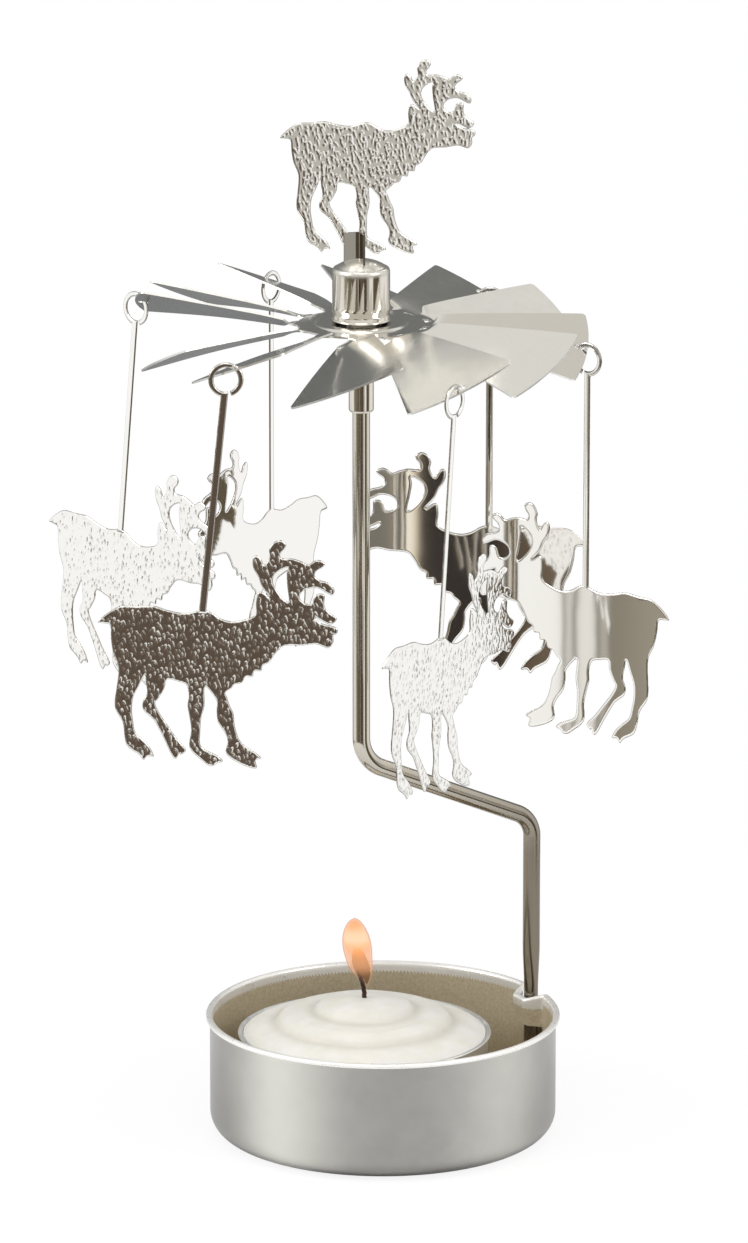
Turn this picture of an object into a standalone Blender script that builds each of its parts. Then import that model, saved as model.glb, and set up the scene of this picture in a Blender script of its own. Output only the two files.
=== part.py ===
"""Rotary tea-light carousel: a round steel cup with a bent tube, a twelve-vane wheel on a
needle, a small reindeer on top and six flat reindeer that hang from the vanes.

Metres, +Z up. The origin is the centre of the cup's underside, and +X points to the tube.
"""

import math

import bmesh
import bpy
from mathutils import Matrix, Vector

# Clearances
GAP = 0.0003                    # between pieces that touch
RUNNING_GAP = 0.0003            # round what turns
OVERRUN = 0.001                 # how far a cutter runs past what it cuts

# Base cup: drawn steel sheet
CANDLE_ROOM = 0.0068            # from a centred tea light's lip to the middle of the wall's sheet
CUP_HEIGHT = 0.0184             # floor to the top of the lip
CUP_SHEET = 0.0004
CUP_CORNER = 0.0032             # bend between floor and wall
LIP_RADIUS = 0.0003             # roll of the lip, middle of the sheet
CUP_STEPS = 44
SOCKET_STEPS = 10

# Socket in the wall: the band above the slit is pressed in, the pocket below it out
SOCKET_HALF_WIDTH = 0.0037
SOCKET_FLAT_SHARE = 0.38        # of the half width, at full depth
SLIT_HEIGHT = 0.0131            # middle of the slit
SLIT_GAP = 0.0004
POCKET_FLOOR = 0.0046           # where the pocket has its full depth
POCKET_SLOPE = 0.0014           # height of the slope under it
LIP_DROP = 0.0008               # the pressed lip sinks by this

# Support tube
TUBE_RADIUS = 0.0013
TUBE_INSET = 0.0006             # tube line inside the wall line
FOOT_HALF_THICKNESS = 0.00095   # flattened foot, towards the cup's centre
FOOT_HALF_WIDTH = 0.00142
FOOT_TOP = 0.0185               # the flattening fades out above this
FOOT_FADE = 0.007
FOOT_STEPS = 6
ARM_LOW = 0.0453                # where the lower upright and the arm would cross
ARM_HIGH = 0.0579               # where the arm and the upper upright would cross
ARM_LOW_BEND = 0.0042
ARM_HIGH_BEND = 0.0055
BEND_STEPS = 7
ROTOR_OFFSET = 0.0036           # rotor axis beyond the cup's centre, away from the tube
TUBE_SIDES_RESOLUTION = 4

# Needle in the tube's top
NEEDLE_RADIUS = 0.0005
NEEDLE_DEPTH = 0.006            # in the tube
NEEDLE_CONE = 0.0022
NEEDLE_TIP_RADIUS = 0.00008
NEEDLE_STEPS = 10

# Tea light
CANDLE_OFFSET = 0.0031          # its centre beyond the cup's centre, away from the tube
CANDLE_RADIUS = 0.0190          # over the lip
CANDLE_LIP = 0.0004
CANDLE_HEIGHT = 0.0151
CANDLE_TAPER = 0.0004
CANDLE_FOIL = 0.0003
CANDLE_STEPS = 36
WAX_RIM_DROP = 0.0006           # wax edge below the candle cup's lip
WAX_RISE = 0.0058               # dome above its own edge
# Shares of the wax radius and of the rise, from the edge inwards: two melted steps
WAX_SHARES = ((1.0, 0.0), (0.96, 0.12), (0.76, 0.31), (0.725, 0.31), (0.70, 0.37),
              (0.58, 0.55), (0.42, 0.655), (0.39, 0.73), (0.26, 0.90), (0.13, 0.98))
WICK_RADIUS = 0.0005
WICK_HEIGHT = 0.0044            # above the wax
WICK_LEAN = 0.0011
WICK_STEPS = 8
SUSTAINER_RADIUS = 0.0065
SUSTAINER_SHEET = 0.0003
COLLAR_HEIGHT = 0.003
COLLAR_WALL = 0.0003

# Vane wheel: one stamped and twisted sheet
WHEEL_HEIGHT = 0.1244           # middle of the sheet
WHEEL_SHEET = 0.0003
WHEEL_RADIUS = 0.0335
DISC_RADIUS = 0.0094
EMBOSS_RADIUS = 0.0069
EMBOSS_SLOPE = 0.0004
EMBOSS_RISE = 0.0003
VANE_COUNT = 12
VANE_TWIST = math.radians(21)
VANE_TWIST_LENGTH = 0.0022
VANE_SLIT = 0.00035             # between neighbours in the flat blank
VANE_SHOULDER = 0.0021          # length in which the neck widens
VANE_CORNER = 0.0006
# Degrees that each vane is bent up from level, from the first hole on, counter-clockwise
VANE_LIFTS = (8, -6, -1.5, -6, -8, -6, -8, -5, -3, -3.5, 1.5, 2.5)
NECK_SHARE = 0.5                # of a vane's share of the disc's rim
NECK_ROW_SHARES = (0, 0.25, 0.5, 0.64, 0.78, 1)
SECTOR_COLUMNS = 8
VANE_COLUMNS = 4
HOLE_RADIUS = 0.0008
HOLE_MARGIN = 0.0012            # hole centre to vane tip
FIRST_HOLE_ANGLE = math.radians(149.5)

# Hub
SLEEVE_WALL = 0.00025
SLEEVE_DROP = 0.0131            # below the wheel
SLEEVE_FLANGE = 0.0030
SLEEVE_CHAMFER = 0.0004
CAP_RADIUS = 0.00425
CAP_WALL = 0.00035
CAP_HEIGHT = 0.0069             # up to the shoulder
CAP_DOME = 0.0022
CAP_SHOULDER = 0.0004
CAP_BEAD = 0.00016
CAP_STEPS = 28
DOME_STEPS = 5
PIVOT_CUP_HEIGHT = 0.0022
PIVOT_CUP_DROP = 0.0018         # below the cap's inner shoulder
PIVOT_CONE_RADIUS = 0.0014
PIVOT_CONE_DEPTH = 0.0012

# Hanging reindeer
DEER_LENGTH = 0.0350
DEER_SHEET = 0.0003
STEM_WIDTH = 0.00105
STEM_SHARE = 0.415              # of the body length, from the tail
HOOK_TO_HOOF = 0.0586           # hinge line to the hoof level
RING_INNER = 0.0018
RING_OUTER = 0.00255
RING_DROP = 0.0011              # hinge line to the ring's centre
RING_REACH = 0.00145            # hinge point to the vane hole, along the figure
RING_OPENING = math.radians(24)
RING_STEPS = 10
DEER_COUNT = 6
# How far each figure is turned inwards from straight ahead, in the order of the holes
DEER_TURNS = (50, 30, 30, 57, 30, 40)
# Degrees that each figure hangs off plumb in its own plane, held by its ring on the sloping vane
DEER_LEANS = (-3, 3, 3, 3, -3, -3)

# Top reindeer
TOP_LENGTH = 0.0294
TOP_TURN = math.radians(-13)
TOP_LEAN = math.radians(-3.5)   # forwards, about the tab's corner at the hooves
TOP_HOOF_HEIGHT = 0.0008        # hooves above the cap's dome
TAB_WIDTH = 0.0026
TAB_SHARE = 0.435               # tab's corner along the body length, on the rotor axis
TAB_DEPTH = 0.0011              # inside the cap
TAB_GAP = 0.0002                # round the tab in its slot

# Outline of the reindeer in shares of its length, clockwise from the tail
BACK_SHARES = ((-0.015, 0.582), (0.023, 0.622), (0.073, 0.654), (0.141, 0.659), (0.212, 0.666),
               (0.276, 0.651), (0.345, 0.645))
NECK_SHARES = ((0.491, 0.634), (0.539, 0.624), (0.594, 0.636), (0.640, 0.663))
EAR_SHARES = ((0.633, 0.709), (0.641, 0.756), (0.667, 0.757))
ANTLER_SHARES = (
    (0.690, 0.736), (0.652, 0.778), (0.634, 0.816), (0.609, 0.853), (0.601, 0.891),
    (0.612, 0.912), (0.635, 0.900), (0.652, 0.874), (0.670, 0.910), (0.665, 0.940),
    (0.680, 0.971), (0.707, 0.984), (0.733, 0.970), (0.728, 0.947), (0.713, 0.927),
    (0.722, 0.908), (0.766, 0.910), (0.806, 0.900), (0.834, 0.890), (0.856, 0.906),
    (0.877, 0.912), (0.903, 0.900), (0.894, 0.881), (0.871, 0.864), (0.866, 0.843),
    (0.888, 0.827), (0.928, 0.817), (0.953, 0.791), (0.948, 0.766), (0.922, 0.774),
    (0.882, 0.792), (0.842, 0.786), (0.819, 0.770), (0.812, 0.747), (0.833, 0.725),
    (0.862, 0.724))
BROW_SHARES = ((0.875, 0.757), (0.891, 0.769), (0.915, 0.763), (0.918, 0.720), (0.942, 0.691),
               (0.974, 0.673), (0.971, 0.654), (0.952, 0.641), (0.927, 0.648), (0.884, 0.668))
MUZZLE_SHARES = ((0.912, 0.644), (0.976, 0.631), (0.985, 0.608), (0.969, 0.592), (0.972, 0.566),
                 (0.952, 0.539), (0.900, 0.553), (0.844, 0.543), (0.769, 0.536))
CHEST_SHARES = ((0.735, 0.498), (0.698, 0.447), (0.667, 0.415), (0.613, 0.376), (0.567, 0.338),
                (0.544, 0.318))
FRONT_LEG_SHARES = (
    (0.553, 0.299), (0.570, 0.261), (0.587, 0.231), (0.598, 0.178), (0.620, 0.125),
    (0.649, 0.096), (0.689, 0.074), (0.722, 0.049), (0.699, 0.037), (0.708, 0.006),
    (0.684, 0.003), (0.636, 0.018), (0.587, 0.043), (0.570, 0.069), (0.575, 0.108),
    (0.559, 0.146), (0.526, 0.190), (0.515, 0.243), (0.514, 0.274), (0.489, 0.311),
    (0.456, 0.335))
SECOND_LEG_SHARES = (
    (0.463, 0.257), (0.455, 0.203), (0.456, 0.149), (0.462, 0.088), (0.491, 0.066),
    (0.540, 0.045), (0.563, 0.023), (0.541, 0.014), (0.526, 0.0), (0.502, 0.002),
    (0.477, 0.019), (0.419, 0.071), (0.418, 0.147), (0.406, 0.201), (0.392, 0.254),
    (0.394, 0.292), (0.380, 0.338))
THIRD_LEG_SHARES = (
    (0.344, 0.351), (0.296, 0.357), (0.290, 0.318), (0.268, 0.271), (0.257, 0.252),
    (0.279, 0.211), (0.320, 0.159), (0.362, 0.107), (0.404, 0.062), (0.366, 0.019),
    (0.345, 0.037), (0.307, 0.104), (0.264, 0.172), (0.240, 0.194), (0.211, 0.219),
    (0.205, 0.253), (0.219, 0.292), (0.210, 0.338), (0.202, 0.372))
BACK_LEG_SHARES = (
    (0.183, 0.322), (0.165, 0.275), (0.163, 0.221), (0.173, 0.168), (0.187, 0.122),
    (0.228, 0.086), (0.257, 0.056), (0.274, 0.022), (0.247, 0.023), (0.232, 0.005),
    (0.211, 0.027), (0.162, 0.056), (0.144, 0.098), (0.131, 0.158), (0.096, 0.211),
    (0.088, 0.256), (0.091, 0.318), (0.090, 0.394), (0.062, 0.455), (0.047, 0.515),
    (0.039, 0.569), (0.009, 0.577))
ANTLER_EYE_SHARES = ((0.751, 0.871), (0.720, 0.858), (0.697, 0.834), (0.695, 0.803),
                     (0.716, 0.766), (0.749, 0.733), (0.769, 0.728), (0.756, 0.790),
                     (0.748, 0.844))
# The strip under the top reindeer's middle legs, between its two middle hooves
TAB_TOP_SHARE = 0.11

# Places that follow
CUP_RADIUS = CANDLE_RADIUS + CANDLE_ROOM
TUBE_X = CUP_RADIUS - TUBE_INSET
BAND_DEPTH = CUP_RADIUS - (TUBE_X - FOOT_HALF_THICKNESS - GAP - CUP_SHEET / 2)
POCKET_DEPTH = TUBE_X + FOOT_HALF_THICKNESS + GAP + CUP_SHEET / 2 - CUP_RADIUS
CANDLE_FLOOR = CUP_SHEET + GAP
CAP_BASE = WHEEL_HEIGHT + WHEEL_SHEET / 2 + EMBOSS_RISE + GAP
CAP_TOP = CAP_BASE + CAP_HEIGHT + CAP_DOME
CAP_CEILING = CAP_BASE + CAP_HEIGHT - CAP_WALL
PIVOT_CUP_TOP = CAP_CEILING - PIVOT_CUP_DROP
PIVOT_CUP_BASE = PIVOT_CUP_TOP - PIVOT_CUP_HEIGHT
NEEDLE_TIP = PIVOT_CUP_BASE + PIVOT_CONE_DEPTH - GAP
SLEEVE_BORE = TUBE_RADIUS + RUNNING_GAP
SLEEVE_OUTER = SLEEVE_BORE + SLEEVE_WALL
SLEEVE_TOP = CAP_BASE + SLEEVE_WALL
TUBE_TOP = SLEEVE_TOP - RUNNING_GAP
HOLE_PLACE_RADIUS = WHEEL_RADIUS - HOLE_MARGIN
ROTOR_AXIS = Vector((-ROTOR_OFFSET, 0, 0))


def clear_scene():
    """Remove whatever the file holds."""
    for obj in list(bpy.data.objects):
        bpy.data.objects.remove(obj, do_unlink=True)


def new_collection(name):
    collection = bpy.data.collections.new(name)
    bpy.context.scene.collection.children.link(collection)
    return collection


def make_material(name, colour, metallic, roughness):
    """A plain shader for one kind of surface."""
    material = bpy.data.materials.new(name)
    material.use_nodes = True
    shader = material.node_tree.nodes["Principled BSDF"]
    shader.inputs["Base Color"].default_value = (*colour, 1)
    shader.inputs["Metallic"].default_value = metallic
    shader.inputs["Roughness"].default_value = roughness
    return material


def add_object(name, data, material, collection):
    obj = bpy.data.objects.new(name, data)
    if material and not data.materials:
        data.materials.append(material)
    collection.objects.link(obj)
    return obj


def shade(mesh, angle=math.radians(35)):
    """Smooth the round faces and keep the edges sharp."""
    mesh.shade_smooth()
    mesh.set_sharp_from_angle(angle=angle)


def finish_bmesh(bm, name):
    """Turn a bmesh into a mesh with its faces outwards."""
    bmesh.ops.recalc_face_normals(bm, faces=bm.faces)
    mesh = bpy.data.meshes.new(name)
    bm.to_mesh(mesh)
    bm.free()
    return mesh


def evaluated_mesh(obj, name, merge):
    """The object's mesh after its modifiers, or a curve's, with loose caps welded on."""
    bpy.context.view_layer.update()
    graph = bpy.context.evaluated_depsgraph_get()
    mesh = bpy.data.meshes.new_from_object(obj.evaluated_get(graph))
    mesh.name = name
    bm = bmesh.new()
    bm.from_mesh(mesh)
    bmesh.ops.remove_doubles(bm, verts=bm.verts, dist=merge)
    bm.to_mesh(mesh)
    bm.free()
    return mesh


def turned(name, profile, steps, material, collection):
    """A profile of (radius, height) from the top down its outer side, turned about Z."""
    mesh = bpy.data.meshes.new(name)
    points = [(radius, 0, height) for radius, height in profile]
    closed = profile[0][0] > 0 or profile[-1][0] > 0
    edges = [(i, i + 1) for i in range(len(points) - 1)]
    if closed:
        edges.append((len(points) - 1, 0))
    mesh.from_pydata(points, edges, [])
    obj = add_object(name, mesh, material, collection)
    screw = obj.modifiers.new("Turn", "SCREW")
    screw.steps = steps
    screw.render_steps = steps
    screw.use_merge_vertices = True
    screw.merge_threshold = NEEDLE_TIP_RADIUS / steps
    screw.use_smooth_shade = True
    return obj


def arc(centre, radius, start, end, steps):
    """Points on an arc in a profile, both ends included."""
    angles = [start + (end - start) * i / steps for i in range(steps + 1)]
    return [(centre[0] + radius * math.cos(a), centre[1] + radius * math.sin(a)) for a in angles]


def smoothstep(value):
    value = min(max(value, 0), 1)
    return value * value * (3 - 2 * value)


def cut(obj, cutter, operation="DIFFERENCE"):
    """Boolean with the exact solver."""
    modifier = obj.modifiers.new("Cut", "BOOLEAN")
    modifier.object = cutter
    modifier.operation = operation
    modifier.solver = "EXACT"


def hide_cutter(obj):
    obj.hide_render = True
    obj.display_type = "WIRE"


def socket_press(y):
    """How much of its full depth the socket has at this distance from its middle."""
    share = abs(y) / SOCKET_HALF_WIDTH
    return smoothstep((1 - share) / (1 - SOCKET_FLAT_SHARE))


def cup_profile():
    """Middle line of the cup's sheet, from the floor's centre out and up to the rolled lip."""
    floor = CUP_SHEET / 2
    corner = (CUP_RADIUS - CUP_CORNER, floor + CUP_CORNER)
    lip_height = CUP_HEIGHT - CUP_SHEET / 2 - LIP_RADIUS
    lip = (CUP_RADIUS + LIP_RADIUS, lip_height)
    profile = [(0, floor)]
    profile += arc(corner, CUP_CORNER, -math.pi / 2, 0, 4)
    wall = (POCKET_FLOOR, SLIT_HEIGHT - SLIT_GAP / 2, SLIT_HEIGHT + SLIT_GAP / 2)
    profile += [(CUP_RADIUS, height) for height in wall]
    profile += arc(lip, LIP_RADIUS, math.pi, -math.radians(20), 4)
    return profile


def make_base_cup(material, collection):
    """Sheet revolved in two spins, finer at the socket, then pressed, slit and thickened."""
    bm = bmesh.new()
    half_angle = SOCKET_HALF_WIDTH / CUP_RADIUS
    turn = Matrix.Rotation(-half_angle, 3, "Z")
    points = [bm.verts.new(turn @ Vector((radius, 0, height))) for radius, height in cup_profile()]
    edges = [bm.edges.new(pair) for pair in zip(points, points[1:])]
    centre = (0, 0, 0)
    first = bmesh.ops.spin(bm, geom=points + edges, cent=centre, axis=(0, 0, 1),
                           angle=2 * half_angle, steps=SOCKET_STEPS)
    bmesh.ops.spin(bm, geom=first["geom_last"], cent=centre, axis=(0, 0, 1),
                   angle=2 * math.pi - 2 * half_angle, steps=CUP_STEPS)
    bmesh.ops.remove_doubles(bm, verts=bm.verts, dist=NEEDLE_TIP_RADIUS)
    wall_radius = CUP_RADIUS - CUP_SHEET
    slit = [face for face in bm.faces
            if abs(face.calc_center_median().z - SLIT_HEIGHT) < SLIT_GAP / 4
            and abs(face.calc_center_median().y) < SOCKET_HALF_WIDTH
            and face.calc_center_median().x > 0]
    bmesh.ops.delete(bm, geom=slit, context="FACES")
    for vert in bm.verts:
        radius = math.hypot(vert.co.x, vert.co.y)
        if vert.co.x < 0 or abs(vert.co.y) > SOCKET_HALF_WIDTH or radius < wall_radius:
            continue
        press = socket_press(vert.co.y)
        if vert.co.z > SLIT_HEIGHT:
            fade = smoothstep((vert.co.z - SLIT_HEIGHT) / (CUP_HEIGHT - SLIT_HEIGHT))
            vert.co.x -= (BAND_DEPTH + 2 * LIP_RADIUS * fade) * press
            vert.co.z -= LIP_DROP * press * fade
        elif vert.co.z > POCKET_FLOOR - POCKET_SLOPE / 2:
            vert.co.x += POCKET_DEPTH * press
    mesh = finish_bmesh(bm, "base_cup")
    shade(mesh)
    obj = add_object("base_cup", mesh, material, collection)
    sheet = obj.modifiers.new("Sheet", "SOLIDIFY")
    sheet.thickness = CUP_SHEET
    sheet.offset = 0
    sheet.use_even_offset = True
    return obj


def bend(corner, before, after, radius, steps):
    """Arc of this radius that rounds a corner of a path."""
    back = (before - corner).normalized()
    ahead = (after - corner).normalized()
    half = back.angle(ahead) / 2
    centre = corner + (back + ahead).normalized() * (radius / math.sin(half))
    start = corner + back * (radius / math.tan(half))
    end = corner + ahead * (radius / math.tan(half))
    first = start - centre
    axis = first.cross(end - centre).normalized()
    sweep = first.angle(end - centre)
    return [centre + Matrix.Rotation(sweep * i / steps, 3, axis) @ first for i in range(steps + 1)]


def tube_path():
    """Foot in the socket, lower upright, sloping arm, upper upright under the wheel."""
    foot = Vector((TUBE_X, 0, POCKET_FLOOR))
    low = Vector((TUBE_X, 0, ARM_LOW))
    high = Vector((-ROTOR_OFFSET, 0, ARM_HIGH))
    top = Vector((-ROTOR_OFFSET, 0, TUBE_TOP))
    foot_end = Vector((TUBE_X, 0, FOOT_TOP + FOOT_FADE))
    path = [foot.lerp(foot_end, i / FOOT_STEPS) for i in range(FOOT_STEPS + 1)]
    path += bend(low, foot, high, ARM_LOW_BEND, BEND_STEPS)
    path += bend(high, low, top, ARM_HIGH_BEND, BEND_STEPS)
    path.append(top)
    return path


def make_tube(material, collection, cutters):
    """Bent tube with a flattened foot and a bore for the needle."""
    curve = bpy.data.curves.new("support_tube", "CURVE")
    curve.dimensions = "3D"
    curve.bevel_depth = TUBE_RADIUS
    curve.bevel_resolution = TUBE_SIDES_RESOLUTION
    curve.use_fill_caps = True
    path = tube_path()
    spline = curve.splines.new("POLY")
    spline.points.add(len(path) - 1)
    for point, place in zip(spline.points, path):
        point.co = (*place, 1)
    guide = add_object("tube_line", curve, None, collection)
    mesh = evaluated_mesh(guide, "support_tube", GAP / 10)
    bpy.data.objects.remove(guide, do_unlink=True)
    for vert in mesh.vertices:
        if vert.co.x < TUBE_X - 2 * TUBE_RADIUS or vert.co.z > FOOT_TOP + FOOT_FADE:
            continue
        flat = smoothstep((FOOT_TOP + FOOT_FADE - vert.co.z) / FOOT_FADE)
        thin = 1 + (FOOT_HALF_THICKNESS / TUBE_RADIUS - 1) * flat
        wide = 1 + (FOOT_HALF_WIDTH / TUBE_RADIUS - 1) * flat
        vert.co.x = TUBE_X + (vert.co.x - TUBE_X) * thin
        vert.co.y *= wide
    shade(mesh)
    mesh.materials.clear()
    tube = add_object("support_tube", mesh, material, collection)
    bore = turned("needle_bore", [(0, TUBE_TOP + OVERRUN), (NEEDLE_RADIUS + GAP, TUBE_TOP + OVERRUN),
                                  (NEEDLE_RADIUS + GAP, TUBE_TOP - NEEDLE_DEPTH - GAP),
                                  (0, TUBE_TOP - NEEDLE_DEPTH - GAP)], NEEDLE_STEPS, None, cutters)
    bore.location = ROTOR_AXIS
    hide_cutter(bore)
    cut(tube, bore)
    return tube


def make_needle(material, collection):
    shoulder = NEEDLE_TIP - NEEDLE_CONE
    profile = [(0, NEEDLE_TIP), (NEEDLE_TIP_RADIUS, NEEDLE_TIP), (NEEDLE_RADIUS, shoulder),
               (NEEDLE_RADIUS, TUBE_TOP - NEEDLE_DEPTH), (0, TUBE_TOP - NEEDLE_DEPTH)]
    return turned("pivot_needle", profile, NEEDLE_STEPS, material, collection)


def candle_levels():
    """Heights in the tea light: its floor's top, the wax edge, the sustainer's top."""
    floor_top = CANDLE_FLOOR + CANDLE_FOIL
    edge = CANDLE_FLOOR + CANDLE_HEIGHT - WAX_RIM_DROP
    sustainer_top = floor_top + GAP + SUSTAINER_SHEET
    return floor_top, edge, sustainer_top


def make_candle_cup(material, collection):
    """Thin pressed cup, slightly tapered, with a small turned lip."""
    top = CANDLE_FLOOR + CANDLE_HEIGHT
    wall_top = CANDLE_RADIUS - CANDLE_LIP
    wall_base = wall_top - CANDLE_TAPER
    corner = CANDLE_FOIL * 2
    profile = [(wall_top, top), (CANDLE_RADIUS, top), (CANDLE_RADIUS, top - CANDLE_LIP),
               (wall_top, top - CANDLE_LIP), (wall_base, CANDLE_FLOOR + corner),
               (wall_base - corner, CANDLE_FLOOR), (0, CANDLE_FLOOR),
               (0, CANDLE_FLOOR + CANDLE_FOIL), (wall_base - corner, CANDLE_FLOOR + CANDLE_FOIL),
               (wall_base - CANDLE_FOIL, CANDLE_FLOOR + corner),
               (wall_top - CANDLE_FOIL, top - CANDLE_LIP), (wall_top - CANDLE_FOIL, top)]
    return turned("tealight_cup", profile, CANDLE_STEPS, material, collection)


def make_wax(material, collection):
    """Wax with two melted steps and a hole for the wick and its collar."""
    floor_top, edge, sustainer_top = candle_levels()
    radius = CANDLE_RADIUS - CANDLE_LIP - CANDLE_TAPER - CANDLE_FOIL - GAP
    wick_hole = WICK_RADIUS + GAP
    collar_hole = WICK_RADIUS + GAP + COLLAR_WALL + GAP
    collar_top = sustainer_top + COLLAR_HEIGHT + GAP
    recess = SUSTAINER_RADIUS + GAP
    profile = [(wick_hole, edge + WAX_RISE)]
    profile += [(radius * out, edge + WAX_RISE * up) for out, up in reversed(WAX_SHARES)]
    profile += [(radius, floor_top + CANDLE_FOIL + GAP), (radius - CANDLE_FOIL, floor_top + GAP),
                (recess, floor_top + GAP), (recess, sustainer_top + GAP),
                (collar_hole, sustainer_top + GAP), (collar_hole, collar_top),
                (wick_hole, collar_top)]
    return turned("candle_wax", profile, CANDLE_STEPS, material, collection)


def make_sustainer(material, collection):
    """Tin disc with a collar that holds the wick upright."""
    floor_top, _, top = candle_levels()
    bore = WICK_RADIUS + GAP
    collar = bore + COLLAR_WALL
    profile = [(collar, top + COLLAR_HEIGHT), (collar, top), (SUSTAINER_RADIUS, top),
               (SUSTAINER_RADIUS, floor_top + GAP), (bore, floor_top + GAP),
               (bore, top + COLLAR_HEIGHT)]
    return turned("wick_sustainer", profile, CANDLE_STEPS // 2, material, collection)


def make_wick(material, collection):
    """Cotton wick: upright in the wax, its tip bowed over."""
    floor_top, edge, _ = candle_levels()
    base = floor_top + GAP
    wax_top = edge + WAX_RISE
    curve = bpy.data.curves.new("candle_wick", "CURVE")
    curve.dimensions = "3D"
    curve.bevel_depth = WICK_RADIUS
    curve.bevel_resolution = 2
    curve.use_fill_caps = True
    path = [Vector((0, 0, base)), Vector((0, 0, wax_top))]
    for i in range(1, WICK_STEPS + 1):
        share = i / WICK_STEPS
        path.append(Vector((-WICK_LEAN * share ** 2, 0, wax_top + WICK_HEIGHT * share)))
    spline = curve.splines.new("POLY")
    spline.points.add(len(path) - 1)
    for point, place in zip(spline.points, path):
        point.co = (*place, 1)
    return add_object("candle_wick", curve, material, collection)


def vane_point(along, across, lift):
    """A vane's grid point: share of its length and -1 to 1 across, before it is turned round.

    The vane is bent up by the lift about a line across the middle of its twist."""
    length = WHEEL_RADIUS - DISC_RADIUS
    radius = DISC_RADIUS + length * along
    half_sector = math.pi / VANE_COUNT
    neck = DISC_RADIUS * math.sin(half_sector * NECK_SHARE)
    wedge = radius * math.tan(half_sector) - VANE_SLIT / 2
    past = radius - DISC_RADIUS
    widen = smoothstep((past - VANE_SHOULDER / 2) / (VANE_SHOULDER / 2))
    half_width = neck + (wedge - neck) * widen
    corner = max(0, radius - (WHEEL_RADIUS - VANE_CORNER))
    half_width -= VANE_CORNER - math.sqrt(max(VANE_CORNER ** 2 - corner ** 2, 0))
    y = half_width * across
    if past <= 0:
        angle = half_sector * NECK_SHARE * across
        return Vector((DISC_RADIUS * math.cos(angle), DISC_RADIUS * math.sin(angle), 0))
    round_share = smoothstep(past / length)
    x = radius + (math.sqrt(max(radius ** 2 - y ** 2, 0)) - radius) * round_share
    eased = smoothstep(past / VANE_TWIST_LENGTH)
    twist = VANE_TWIST * eased
    point = Vector((x, y * math.cos(twist), y * math.sin(twist)))
    return lifting(lift * eased) @ point


def lifting(lift):
    """Turn that bends a vane up about its bend line."""
    bend_line = Vector((DISC_RADIUS + VANE_TWIST_LENGTH / 2, 0, 0))
    return (Matrix.Translation(bend_line) @ Matrix.Rotation(-lift, 4, "Y")
            @ Matrix.Translation(-bend_line))


def vane_rows():
    """Shares of a vane's length where its grid has rows: neck, shoulder, blade, round corners."""
    length = WHEEL_RADIUS - DISC_RADIUS
    neck = [VANE_SHOULDER * share for share in NECK_ROW_SHARES]
    blade = [VANE_SHOULDER + (length - VANE_CORNER - VANE_SHOULDER) * i / 2 for i in (1, 2)]
    tip = [length - VANE_CORNER * (1 - math.sin(math.pi / 2 * i / 3)) for i in (1, 2, 3)]
    return [place / length for place in neck + blade + tip]


def add_vane(bm, vane):
    rows = vane_rows()
    turn = Matrix.Rotation(2 * math.pi * vane / VANE_COUNT, 3, "Z")
    lift = math.radians(VANE_LIFTS[vane])
    grid = []
    for along in rows:
        row = []
        for column in range(VANE_COLUMNS + 1):
            place = vane_point(along, 2 * column / VANE_COLUMNS - 1, lift)
            row.append(bm.verts.new(turn @ place))
        grid.append(row)
    for near, far in zip(grid, grid[1:]):
        for i in range(VANE_COLUMNS):
            bm.faces.new((near[i], far[i], far[i + 1], near[i + 1]))


def add_disc(bm):
    """Flat disc round the sleeve's hole, with its raised centre."""
    hole = SLEEVE_OUTER + GAP
    profile = [(hole, EMBOSS_RISE), (EMBOSS_RADIUS - EMBOSS_SLOPE, EMBOSS_RISE),
               (EMBOSS_RADIUS, 0), (DISC_RADIUS, 0)]
    start = Matrix.Rotation(math.pi / VANE_COUNT, 3, "Z")
    points = [bm.verts.new(start @ Vector((radius, 0, height))) for radius, height in profile]
    edges = [bm.edges.new(pair) for pair in zip(points, points[1:])]
    bmesh.ops.spin(bm, geom=points + edges, cent=(0, 0, 0), axis=(0, 0, 1),
                   angle=2 * math.pi, steps=VANE_COUNT * SECTOR_COLUMNS)


def make_wheel(material, collection, cutters):
    """One sheet: the disc and twelve twisted, bent vanes, every other one with a hole."""
    bm = bmesh.new()
    add_disc(bm)
    for vane in range(VANE_COUNT):
        add_vane(bm, vane)
    bmesh.ops.remove_doubles(bm, verts=bm.verts, dist=GAP / 10)
    mesh = finish_bmesh(bm, "vane_wheel")
    shade(mesh, math.radians(50))
    wheel = add_object("vane_wheel", mesh, material, collection)
    sheet = wheel.modifiers.new("Sheet", "SOLIDIFY")
    sheet.thickness = WHEEL_SHEET
    sheet.offset = 0
    sheet.use_even_offset = True
    punch = turned("hole_punch", [(0, OVERRUN), (HOLE_RADIUS, OVERRUN), (HOLE_RADIUS, -OVERRUN),
                                  (0, -OVERRUN)], NEEDLE_STEPS, None, cutters)
    hide_cutter(punch)
    for hole in range(DEER_COUNT):
        angle = 4 * math.pi * hole / VANE_COUNT
        tool = punch if hole == 0 else punch.copy()
        if hole:
            cutters.objects.link(tool)
        tool.matrix_world = (Matrix.Rotation(angle, 4, "Z")
                             @ lifting(math.radians(VANE_LIFTS[2 * hole]))
                             @ Matrix.Translation((HOLE_PLACE_RADIUS, 0, 0))
                             @ Matrix.Rotation(VANE_TWIST, 4, "X"))
        cut(wheel, tool)
    bpy.context.view_layer.update()
    finished = evaluated_mesh(wheel, "vane_wheel", GAP / 1000)
    wheel.modifiers.clear()
    wheel.data = finished
    return wheel


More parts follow.
